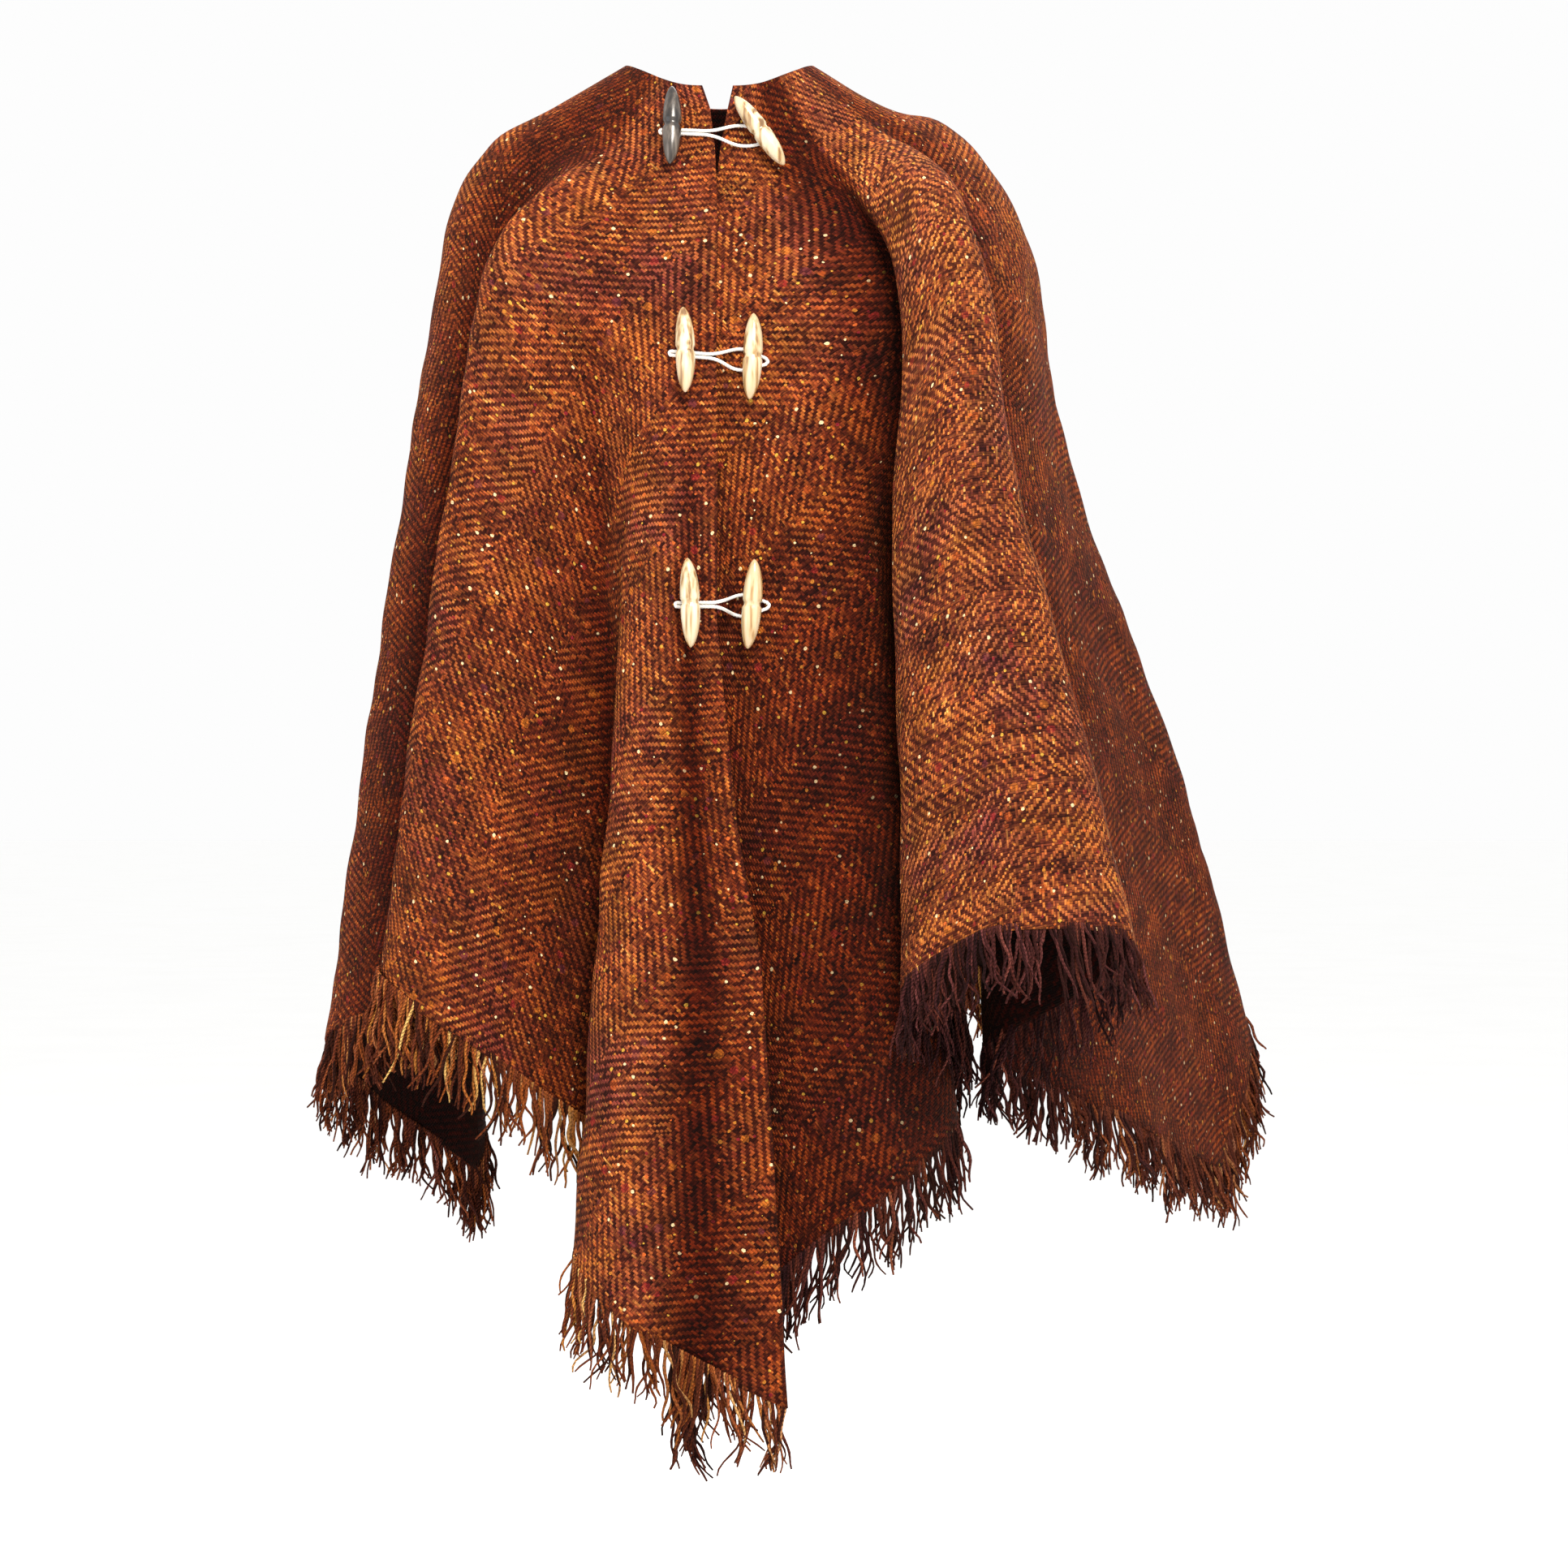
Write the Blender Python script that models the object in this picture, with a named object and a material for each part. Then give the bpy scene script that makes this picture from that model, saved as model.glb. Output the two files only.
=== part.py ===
"""A wool poncho, hanging as it does when worn.

One square of tweed is worn on the diagonal. It has a round neck hole, a slit from the neck to its front
corner, self fringe on all four edges and three pairs of horn toggles tied with cord.

The cloth is described in flat polar coordinates. The angle runs round the neck from the front edge of the
right panel (0) by the right corner (90), the back corner (180) and the left corner (270) to the front edge of
the left panel (360). The radius is measured along the cloth from the middle of the neck. The front faces -Y,
and left and right are the viewer's. The origin is the middle of the neck, level with the shoulders' tops.
"""

import math
import random
from typing import NamedTuple

import bpy
import numpy as np

MM = 0.001
EDGES = {"front_right": (0, 90), "back_right": (90, 180), "back_left": (180, 270), "front_left": (270, 360)}

FRONT_CORNER = 1.060
RIGHT_CORNER = 1.075
BACK_CORNER = 1.040
LEFT_CORNER = 1.005
WALL = 0.0025
NECK_RADIUS = 0.080
NECK_DIP_FRONT = 0.026
NECK_DIP_BACK = 0.018
START_RADIUS = 0.130
UPPER_RADIUS = 0.300
LOWER_RADIUS = 0.750
BEND = 0.10
LEG_STEPS = 3
ROW_SHARES = (0.0, 0.035, 0.08, 0.13, 0.19, 0.26, 0.34, 0.44, 0.56, 0.68, 0.79, 0.90, 1.0)
FINE_STEPS = 6
LEAST_FALL = 0.12
SLIT_REACH = 0.040

SEAM_GAP = 0.0009
LEAST_SQUARENESS = 0.15
STRIP_WIDTH = 0.008
CORNER_GAP = 0.0006
STRAND_PITCH = 0.031
STRAND_SHARE = 0.42
STRAND_LENGTH = 0.050
STRAND_LEAST = 0.82
STRAND_TIP = 0.35
STRAND_FALL = 0.3
STRAND_SWAY = 0.08
STRAND_SEED = 7

TOGGLE_LENGTH = 0.065
TOGGLE_RADIUS = 0.0072
TOGGLE_SIDES = 10
TOGGLE_SHARES = (-1.0, -0.86, -0.6, -0.3, -0.09, 0.0, 0.09, 0.3, 0.6, 0.86, 1.0)
TOGGLE_FULLNESS = 2.5
TOGGLE_TAPER = 0.62
TOGGLE_WAIST = 0.84
CORD_DIAMETER = 0.0026
CORD_GAP = 0.0003
CORD_PAIR = 0.0019
CORD_SPREAD = 0.0085
CORD_UNDER = 0.0068
CORD_SPLIT = 0.45
CORD_OPEN = 0.78
CORD_POINTS = 17
CORD_TURN = (60, 30, 0, -30, -60)
SEAT_STEPS = 24
SEAT_NEAREST = 40
RIGHT_FOLDS = 4
LEFT_FOLDS = 6
LEVEL_BAND = 0.003
STEP_LEVEL = 0.002
STEP_FALL = 0.009


class HemBow(NamedTuple):
    """How far the hem bows outward at one flat angle."""

    angle: float
    bow: float


HEM_BOWS = (
    HemBow(0, 1.08),
    HemBow(45, 1.08),
    HemBow(60, 1.15),
    HemBow(75, 1.20),
    HemBow(90, 1.17),
    HemBow(180, 1.14),
    HemBow(360, 1.14),
)


class Ring(NamedTuple):
    """Half-widths of the unfolded drape at one radius, in mm."""

    radius: float
    left: float
    right: float
    front: float
    back: float


RINGS = (
    Ring(80, 71, 73, 74, 74),
    Ring(140, 123, 125, 92, 97),
    Ring(200, 175, 182, 112, 122),
    Ring(250, 201, 216, 128, 142),
    Ring(300, 212, 238, 140, 158),
    Ring(450, 232, 268, 160, 190),
    Ring(750, 262, 366, 184, 236),
    Ring(1100, 290, 455, 208, 275),
)


class Fold(NamedTuple):
    """A line of the cloth: its flat angle in degrees, then its place seen from above, in mm, at two radii.

    The first place is at UPPER_RADIUS, below the shoulder, and the second at LOWER_RADIUS, near the hem.
    """

    angle: float
    upper_x: float
    upper_y: float
    lower_x: float
    lower_y: float


FOLDS = (
    Fold(0, 0, -141, -14, -162),
    Fold(4.5, 20, -143, 12, -164),
    Fold(9, 42, -142, 56, -172),
    Fold(14, 70, -139, 118, -164),
    Fold(18, 96, -131, 158, -120),
    Fold(21.5, 122, -118, 160, -64),
    Fold(25, 142, -104, 170, -52),
    Fold(29.5, 152, -102, 180, -98),
    Fold(38.5, 140, -140, 136, -180),
    Fold(46.5, 162, -156, 202, -222),
    Fold(55, 192, -128, 286, -160),
    Fold(63, 186, -90, 198, -84),
    Fold(71, 206, -64, 248, -34),
    Fold(78, 222, -36, 290, 20),
    Fold(84, 232, -8, 317, 76),
    Fold(90, 236, 20, 341, 134),
    Fold(97, 234, 52, 368, 194),
    Fold(106, 212, 94, 344, 252),
    Fold(115, 188, 110, 300, 168),
    Fold(125, 168, 142, 264, 270),
    Fold(135, 138, 138, 212, 172),
    Fold(145, 112, 168, 172, 280),
    Fold(155, 80, 156, 124, 184),
    Fold(165, 50, 180, 82, 280),
    Fold(173, 24, 170, 40, 206),
    Fold(180, 0, 182, -2, 264),
    Fold(188, -26, 168, -40, 190),
    Fold(196, -50, 178, -76, 272),
    Fold(205, -76, 156, -102, 176),
    Fold(214, -102, 166, -144, 264),
    Fold(223, -120, 136, -152, 162),
    Fold(233, -148, 142, -208, 236),
    Fold(243, -164, 112, -190, 148),
    Fold(249, -178, 108, -226, 196),
    Fold(255, -188, 94, -252, 168),
    Fold(262, -196, 72, -208, 126),
    Fold(270, -206, 40, -202, 78),
    Fold(277, -212, 10, -256, 34),
    Fold(284, -206, -20, -276, -32),
    Fold(291, -188, -44, -234, -82),
    Fold(299, -172, -56, -166, -34),
    Fold(305, -158, -64, -136, -18),
    Fold(311, -154, -80, -132, -58),
    Fold(318, -160, -100, -176, -96),
    Fold(326, -168, -118, -238, -134),
    Fold(333, -134, -134, -166, -180),
    Fold(339, -104, -139, -104, -158),
    Fold(342, -90, -140, -70, -136),
    Fold(345.5, -72, -141, -62, -158),
    Fold(350, -48, -142, -84, -188),
    Fold(354, -30, -143, -54, -210),
    Fold(357, -15, -144, -14, -190),
    Fold(360, 0, -144, 24, -198),
)


class SlitRow(NamedTuple):
    """The slit at one radius, in mm: each edge's shift, and how far the left edge lies before the right."""

    radius: float
    left_shift: float
    right_shift: float
    step: float


SLIT = (
    SlitRow(80, -11, 12, 0.0),
    SlitRow(100, -5, 8, 1.0),
    SlitRow(130, -1.5, 3, 3.0),
    SlitRow(160, 0.0, 0.0, 4.4),
    SlitRow(200, 1.0, -5, 4.8),
    SlitRow(350, -1.0, -5, 4.8),
    SlitRow(500, -9.0, -5, 4.8),
    SlitRow(650, -2.0, -6, 4.8),
    SlitRow(750, 10.0, -6, 4.8),
    SlitRow(1050, 12.0, -6, 4.8),
)


class Closure(NamedTuple):
    """One pair of toggles, in mm and degrees: where each one's middle is, and how far its top leans right."""

    left_x: float
    left_z: float
    left_lean: float
    right_x: float
    right_z: float
    right_lean: float


CLOSURES = (
    Closure(-31, -62, -4, 30, -66, -32),
    Closure(-22, -234, -2, 27, -238, 2),
    Closure(-17, -417, -3, 28, -417, 4),
)


class Finish(NamedTuple):
    """A plain surface: its colour, roughness and metallic value."""

    colour: tuple
    roughness: float
    metallic: float


TWEED = Finish((0.28, 0.075, 0.03, 1.0), 0.9, 0.0)
TWEED_FRINGE = Finish((0.2, 0.06, 0.03, 1.0), 0.95, 0.0)
PALE_HORN = Finish((0.8, 0.74, 0.6, 1.0), 0.35, 0.0)
DARK_HORN = Finish((0.16, 0.14, 0.12, 1.0), 0.35, 0.0)
WHITE_CORD = Finish((0.85, 0.85, 0.84, 1.0), 0.7, 0.0)


def clear_scene():
    """Takes every object out of the file."""
    for obj in list(bpy.data.objects):
        bpy.data.objects.remove(obj, do_unlink=True)


def ease(share):
    """A share from 0 to 1 that starts and stops gently."""
    share = np.clip(share, 0, 1)
    return share * share * (3 - 2 * share)


def smooth_curve(knots, values, at):
    """A cubic through the knots whose slope at each one is the chord between its neighbours."""
    knots = np.asarray(knots, float)
    values = np.asarray(values, float)
    slopes = np.gradient(values, knots)
    place = np.clip(np.searchsorted(knots, at, side="right") - 1, 0, len(knots) - 2)
    width = knots[place + 1] - knots[place]
    t = (at - knots[place]) / width
    start, end = values[place], values[place + 1]
    leave, arrive = slopes[place] * width, slopes[place + 1] * width
    square, cube = t * t, t * t * t
    return (
        start * (2 * cube - 3 * square + 1)
        + leave * (cube - 2 * square + t)
        + end * (3 * square - 2 * cube)
        + arrive * (cube - square)
    )


def hem_radius(angle):
    """The distance from the middle of the neck to the cloth's edge, whose corners are at every 90 degrees.

    A bow of 1 would give straight edges. More than 1 gives those of a cloth that has stretched between them.
    """
    turn = np.radians(angle)
    bows = np.array(HEM_BOWS)
    bow = np.interp(angle, bows[:, 0], bows[:, 1])
    lengthwise = np.where(np.cos(turn) > 0, FRONT_CORNER, BACK_CORNER)
    sideways = np.where(np.sin(turn) > 0, RIGHT_CORNER, LEFT_CORNER)
    reach = np.abs(np.cos(turn) / lengthwise) ** bow + np.abs(np.sin(turn) / sideways) ** bow
    return reach ** (-1 / bow)


def unfolded(angle, radius):
    """The smooth drape over the shoulders from above: an ellipse in each quarter that widens downwards."""
    turn = np.radians(angle)
    rings = np.array(RINGS) * MM
    left, right, front, back = (smooth_curve(rings[:, 0], rings[:, side], radius) for side in range(1, 5))
    x = np.sin(turn) * np.where(np.sin(turn) > 0, right, left)
    y = -np.cos(turn) * np.where(np.cos(turn) > 0, front, back)
    return x, y


def plan(angle, radius):
    """The cloth seen from above: the unfolded drape and the folds that grow on it.

    How far a fold stands off the unfolded drape grows from nothing at START_RADIUS to its upper place, then
    in a straight line through its lower place to the hem.
    """
    folds = np.array(FOLDS)
    upper_x, upper_y, lower_x, lower_y = (
        smooth_curve(folds[:, 0], folds[:, place] * MM, angle) for place in range(1, 5)
    )
    base_x, base_y = unfolded(angle, radius)
    high_x, high_y = unfolded(angle, np.full_like(radius, UPPER_RADIUS))
    low_x, low_y = unfolded(angle, np.full_like(radius, LOWER_RADIUS))
    onset = ease((radius - START_RADIUS) / (UPPER_RADIUS - START_RADIUS))
    share = (radius - UPPER_RADIUS) / (LOWER_RADIUS - UPPER_RADIUS)
    growth = (share + np.sqrt(share * share + BEND * BEND)) / 2
    slit = np.array(SLIT) * MM
    shift_left, shift_right, step = (np.interp(radius, slit[:, 0], slit[:, row]) for row in range(1, 4))
    near_left = np.exp(-((radius * np.radians(360 - angle) / SLIT_REACH) ** 2))
    near_right = np.exp(-((radius * np.radians(angle) / SLIT_REACH) ** 2))
    x = base_x + onset * (upper_x - high_x) + growth * (lower_x - low_x - upper_x + high_x)
    y = base_y + onset * (upper_y - high_y) + growth * (lower_y - low_y - upper_y + high_y)
    x = x + near_left * shift_left + near_right * shift_right
    return x, y + (near_right - near_left) * step / 2


def drape(angles, radii):
    """Points of the middle of the cloth.

    Each line of one flat angle keeps its length: what it doesn't spread, it falls. angles is a row of n flat
    angles, and radii a grid of m rows by n that starts at the neck.
    """
    shares = np.linspace(0, 1, FINE_STEPS, endpoint=False)[None, :, None]
    fine = radii[:-1, None, :] + shares * (radii[1:, None, :] - radii[:-1, None, :])
    fine = np.concatenate([fine.reshape(-1, len(angles)), radii[-1:]])
    x, y = plan(np.broadcast_to(angles, fine.shape), fine)
    along = np.diff(fine, axis=0)
    across = np.hypot(np.diff(x, axis=0), np.diff(y, axis=0))
    fall = np.sqrt(np.maximum(along**2 - across**2, (LEAST_FALL * along) ** 2))
    turn = np.radians(angles)
    neck = -np.cos(turn) ** 2 * np.where(np.cos(turn) > 0, NECK_DIP_FRONT, NECK_DIP_BACK)
    z = neck - np.concatenate([np.zeros((1, len(angles))), np.cumsum(fall, axis=0)])
    return np.stack([x, y, z], axis=2)[::FINE_STEPS]


def normals(points):
    """Unit vectors out of the cloth at each point of a grid, from its neighbours down and across."""
    across = np.gradient(points, axis=1)
    down = np.gradient(points, axis=0)
    out = np.cross(down, across)
    return out / np.linalg.norm(out, axis=2, keepdims=True)


def column_angles():
    """The flat angles of the cloth's columns: every fold line, with the same steps between each two."""
    lines = [fold.angle for fold in FOLDS]
    steps = [
        start + (end - start) * step / LEG_STEPS
        for start, end in zip(lines, lines[1:])
        for step in range(LEG_STEPS)
    ]
    return np.array(steps + [lines[-1]])


def wall_faces(rows, columns):
    """Faces of a closed wall made of an outer and an inner grid of the same size, outer points first.

    Both sides split each square along the same diagonal, so the wall keeps its thickness where it twists.
    """
    inner = rows * columns
    faces = []
    for row in range(rows - 1):
        for column in range(columns - 1):
            first = row * columns + column
            below = first + columns
            faces.append([first, below, below + 1])
            faces.append([first, below + 1, first + 1])
            faces.append([inner + first, inner + below + 1, inner + below])
            faces.append([inner + first, inner + first + 1, inner + below + 1])
    foot = (rows - 1) * columns
    for column in range(columns - 1):
        faces.append([column, column + 1, inner + column + 1, inner + column])
        faces.append([foot + column + 1, foot + column, inner + foot + column, inner + foot + column + 1])
    for row in range(rows - 1):
        first = row * columns
        last = first + columns - 1
        faces.append([first + columns, first, inner + first, inner + first + columns])
        faces.append([last, last + columns, inner + last + columns, inner + last])
    return faces


def add_mesh(name, points, faces, finish):
    """A mesh object of these points, in metres, with its own material."""
    mesh = bpy.data.meshes.new(name)
    mesh.from_pydata([tuple(map(float, point)) for point in points], [], faces)
    mesh.update()
    obj = bpy.data.objects.new(name, mesh)
    bpy.context.collection.objects.link(obj)
    dress(obj, finish)
    return obj


def dress(obj, finish):
    """Gives an object a material of its own."""
    material = bpy.data.materials.new(f"{obj.name} finish")
    material.use_nodes = True
    shader = material.node_tree.nodes["Principled BSDF"]
    shader.inputs["Base Color"].default_value = finish.colour
    shader.inputs["Roughness"].default_value = finish.roughness
    shader.inputs["Metallic"].default_value = finish.metallic
    material.diffuse_color = finish.colour
    obj.data.materials.append(material)


def cloth_grid():
    """The middle surface of the cloth, and two rows more for the top and the foot of the fringe's strip.

    The strip carries each line of the cloth straight on, below a gap that is measured square to the hem.
    """
    angles = column_angles()
    hem = hem_radius(angles)
    shares = np.array(ROW_SHARES)[:, None]
    radii = NECK_RADIUS + shares * (hem - NECK_RADIUS)
    slope = np.abs(np.cos(np.radians(angles))) + np.abs(np.sin(np.radians(angles)))
    grid = drape(angles, np.concatenate([radii, (hem + STRIP_WIDTH * math.sqrt(2) / slope)[None]]))
    body, onward = grid[:-1], grid[-1] - grid[-2]
    ahead = onward / np.linalg.norm(onward, axis=1, keepdims=True)
    edge = np.diff(body[-1], axis=0)
    edge /= np.linalg.norm(edge, axis=1, keepdims=True)
    before = np.concatenate([edge[:1], edge])
    after = np.concatenate([edge, edge[-1:]])
    squareness = np.minimum(*(np.linalg.norm(np.cross(ahead, side), axis=1) for side in (before, after)))
    top = body[-1] + ahead * (SEAM_GAP / np.maximum(squareness, LEAST_SQUARENESS))[:, None]
    return angles, body, np.stack([top, top + onward])


def make_cloth(points, out):
    """The cloth as a wall about its middle surface."""
    vertices = np.concatenate([(points + out).reshape(-1, 3), (points - out).reshape(-1, 3)])
    return add_mesh("cloth", vertices, wall_faces(*points.shape[:2]), TWEED)


def strand_columns(along):
    """The strip's columns along an edge, and the first column of each strand's root.

    The strip keeps the cloth's own columns, so it bends where the hem bends. The strands stand between them.
    """
    columns = []
    roots = []
    for start, end in zip(along, along[1:]):
        count = max(1, round((end - start) / STRAND_PITCH))
        pitch = (end - start) / count
        columns.append(start)
        for strand in range(count):
            middle = start + (strand + 0.5) * pitch
            roots.append(len(columns))
            columns += [middle - STRAND_SHARE / 2 * pitch, middle + STRAND_SHARE / 2 * pitch]
    columns.append(along[-1])
    columns[0] += CORNER_GAP
    columns[-1] -= CORNER_GAP
    return np.array(columns), roots


def make_fringe(name, angles, strip, out, edge, chance):
    """One edge's fringe: a narrow strip of wall, with each strand drawn from its foot.

    A strand narrows to its tip and falls between the cloth's own slope and straight down.
    """
    along = np.tan(np.radians(angles - sum(edge) / 2)) * FRONT_CORNER / math.sqrt(2)
    columns, roots = strand_columns(along)

    def read(grid):
        return np.stack([np.interp(columns, along, grid[:, axis]) for axis in range(3)], axis=1)

    top, foot, half = read(strip[0]), read(strip[1]), read(out)
    outer = np.concatenate([top + half, foot + half])
    inner = np.concatenate([top - half, foot - half])
    points = list(np.concatenate([outer, inner]))
    count = len(columns)
    root_corners = [
        (count + column + 1, count + column, 3 * count + column, 3 * count + column + 1) for column in roots
    ]
    opened = {frozenset(corners) for corners in root_corners}
    faces = [face for face in wall_faces(2, count) if frozenset(face) not in opened]
    for column, corners in zip(roots, root_corners):
        root = np.array([points[corner] for corner in corners])
        middle = root.mean(axis=0)
        slope = (foot[column] - top[column]) + (foot[column + 1] - top[column + 1])
        slope /= np.linalg.norm(slope)
        sideways = foot[column + 1] - foot[column]
        sideways *= chance.uniform(-STRAND_SWAY, STRAND_SWAY) / np.linalg.norm(sideways)
        run = (1 - STRAND_FALL) * slope + STRAND_FALL * np.array([0, 0, -1.0]) + sideways
        run /= np.linalg.norm(run)
        end = middle + run * STRAND_LENGTH * chance.uniform(STRAND_LEAST, 1.0)
        tip = len(points)
        points.extend(end + (root - middle) * STRAND_TIP)
        for side in range(4):
            after = (side + 1) % 4
            faces.append([corners[side], corners[after], tip + after, tip + side])
        faces.append([tip, tip + 1, tip + 2, tip + 3])
    return add_mesh(name, points, faces, TWEED_FRINGE)


def front_surface(points):
    """Finely spaced points of the cloth's middle near the slit, split by side, on the facets of the wall."""
    shares = np.arange(SEAT_STEPS) / SEAT_STEPS
    down, over = np.meshgrid(shares, shares, indexing="ij")
    down, over = down.reshape(-1, 1, 1, 1), over.reshape(-1, 1, 1, 1)
    start, right, below, far = points[:-1, :-1], points[:-1, 1:], points[1:, :-1], points[1:, 1:]
    low_half = start + down * (below - start) + over * (far - below)
    high_half = start + over * (right - start) + down * (far - right)
    fine = np.where(down >= over, low_half, high_half)
    sides = {"right": fine[:, :, : RIGHT_FOLDS * LEG_STEPS], "left": fine[:, :, -LEFT_FOLDS * LEG_STEPS :]}
    return {side: part.reshape(-1, 3) for side, part in sides.items()}


def seat(surface, x, z):
    """The point of the cloth's middle seen at x and z from the front, and the direction out of it there."""
    away = (surface[:, 0] - x) ** 2 + (surface[:, 2] - z) ** 2
    near = surface[np.argsort(away)[:SEAT_NEAREST]]
    terms = np.column_stack([np.ones(len(near)), near[:, 0] - x, near[:, 2] - z])
    (y, slope_x, slope_z), *_ = np.linalg.lstsq(terms, near[:, 1], rcond=None)
    out = np.array([slope_x, -1.0, slope_z])
    return np.array([x, y, z]), out / np.linalg.norm(out)


def spindle_profile():
    """Pairs of place along a toggle and radius: two points, a full belly and a slight groove for the cord."""
    half = TOGGLE_LENGTH / 2
    rings = []
    for share in TOGGLE_SHARES:
        radius = TOGGLE_RADIUS * (1 - abs(share) ** TOGGLE_FULLNESS) ** TOGGLE_TAPER
        rings.append((share * half, radius * (TOGGLE_WAIST if share == 0.0 else 1.0)))
    return rings


def make_toggle(name, middle, out, lean, finish):
    """A horn spindle that lies on the cord, its top leaning to the right by some degrees."""
    turn = math.radians(lean)
    length = np.array([math.sin(turn), 0.0, math.cos(turn)])
    length -= out * np.dot(length, out)
    length /= np.linalg.norm(length)
    side = np.cross(length, out)
    rings = spindle_profile()
    points = [middle + length * rings[0][0]]
    for place, radius in rings[1:-1]:
        for spoke in range(TOGGLE_SIDES):
            angle = 2 * math.pi * spoke / TOGGLE_SIDES
            points.append(middle + length * place + (side * math.cos(angle) + out * math.sin(angle)) * radius)
    points.append(middle + length * rings[-1][0])
    top = len(points) - 1
    faces = []
    for spoke in range(TOGGLE_SIDES):
        after = (spoke + 1) % TOGGLE_SIDES
        faces.append([0, 1 + spoke, 1 + after])
        for ring in range(len(rings) - 3):
            low, high = 1 + ring * TOGGLE_SIDES, 1 + (ring + 1) * TOGGLE_SIDES
            faces.append([low + spoke, high + spoke, high + after, low + after])
        last = 1 + (len(rings) - 3) * TOGGLE_SIDES
        faces.append([last + spoke, top, last + after])
    toggle = add_mesh(name, points, faces, finish)
    toggle.data.shade_smooth()
    return toggle


def cord_line(closure):
    """The closed loop of one closure's cord, seen from the front: pairs of x and z in metres.

    Two strands run side by side from the left toggle, part towards the right one and turn back beyond each.
    """
    left = np.array([closure.left_x, closure.left_z]) * MM
    right = np.array([closure.right_x, closure.right_z]) * MM
    span = np.linalg.norm(right - left)
    ahead = (right - left) / span
    across = np.array([-ahead[1], ahead[0]])
    reach = TOGGLE_RADIUS + CORD_DIAMETER
    knots = [-reach, 0.0, CORD_SPLIT * span, CORD_OPEN * span, span, span + reach]
    halves = [CORD_PAIR, CORD_PAIR, CORD_PAIR, CORD_SPREAD, CORD_UNDER, CORD_PAIR]
    places = np.linspace(-reach, span + reach, CORD_POINTS)
    half = np.interp(places, knots, halves)
    upper = left + places[:, None] * ahead + half[:, None] * across
    lower = left + places[:, None] * ahead - half[:, None] * across
    turns = np.radians(CORD_TURN)
    far = left + (span + reach) * ahead
    near = left - reach * ahead
    far_turn = [far + CORD_PAIR * (math.cos(turn) * ahead + math.sin(turn) * across) for turn in turns]
    near_turn = [near - CORD_PAIR * (math.cos(turn) * ahead + math.sin(turn) * across) for turn in turns]
    return np.concatenate([upper, far_turn, lower[::-1], near_turn])


def rest_on_front(surfaces, spots):
    """Places for the middle of a cord that lies on the front, at these pairs of x and z.

    The cord leaves the left panel level at the slit and comes down on the right panel a little farther on.
    """
    lift = WALL / 2 + CORD_GAP + CORD_DIAMETER / 2
    places = []
    for x, z in spots:
        level = {side: points[np.abs(points[:, 2] - z) < LEVEL_BAND, 0] for side, points in surfaces.items()}
        edge = level["left"].max()
        if x <= edge:
            spot, out = seat(surfaces["left"], x, z)
        else:
            start = max(edge, level["right"].min())
            spot, out = seat(surfaces["right"], max(x, start), z)
            step = seat(surfaces["left"], edge, z)[0][1] - seat(surfaces["right"], start, z)[0][1]
            spot[1] += step * (1 - ease((x - start - STEP_LEVEL) / STEP_FALL))
        places.append([x, spot[1] + lift / out[1], z])
    return places


def make_cord(name, points):
    """A closed loop of cord through these points."""
    curve = bpy.data.curves.new(name, "CURVE")
    curve.dimensions = "3D"
    curve.bevel_depth = CORD_DIAMETER / 2
    curve.bevel_resolution = 2
    spline = curve.splines.new("POLY")
    spline.points.add(len(points) - 1)
    for point, place in zip(spline.points, points):
        point.co = (*map(float, place), 1.0)
    spline.use_cyclic_u = True
    cord = bpy.data.objects.new(name, curve)
    bpy.context.collection.objects.link(cord)
    dress(cord, WHITE_CORD)
    return cord


def make_closures(body):
    """The three pairs of toggles and the cord that joins each pair."""
    surfaces = front_surface(body)
    lift = WALL / 2 + CORD_GAP + CORD_DIAMETER + CORD_GAP + TOGGLE_RADIUS
    for number, closure in enumerate(CLOSURES, start=1):
        sides = {
            "left": (closure.left_x, closure.left_z, closure.left_lean),
            "right": (closure.right_x, closure.right_z, closure.right_lean),
        }
        for side, (x, z, lean) in sides.items():
            spot, out = seat(surfaces[side], x * MM, z * MM)
            finish = DARK_HORN if (number, side) == (1, "left") else PALE_HORN
            make_toggle(f"toggle_{side}_{number}", spot + lift * out, out, lean, finish)
        make_cord(f"cord_{number}", rest_on_front(surfaces, cord_line(closure)))


def main():
    """Builds the cloth, its fringe and its closures."""
    clear_scene()
    angles, body, strip = cloth_grid()
    out = normals(np.concatenate([body, strip[1:]]))[:-1] * WALL / 2
    make_cloth(body, out)
    chance = random.Random(STRAND_SEED)
    for name, edge in EDGES.items():
        here = (angles >= edge[0]) & (angles <= edge[1])
        make_fringe(f"fringe_{name}", angles[here], strip[:, here], out[-1, here], edge, chance)
    make_closures(body)


main()
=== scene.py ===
"""The look of a wool poncho: tweed cloth, plied self fringe, horn toggles and cord, in a plain pale studio.

The cloth is described in flat polar coordinates. The angle runs round the neck from the front edge of the
right panel (0) by the right corner (90), the back corner (180) and the left corner (270) to the front edge of
the left panel (360). The radius is measured along the cloth from the middle of the neck. The front faces -Y,
and left and right are the viewer's.
"""

import logging
import math
from dataclasses import dataclass, field
from enum import Enum
from typing import NamedTuple

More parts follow.
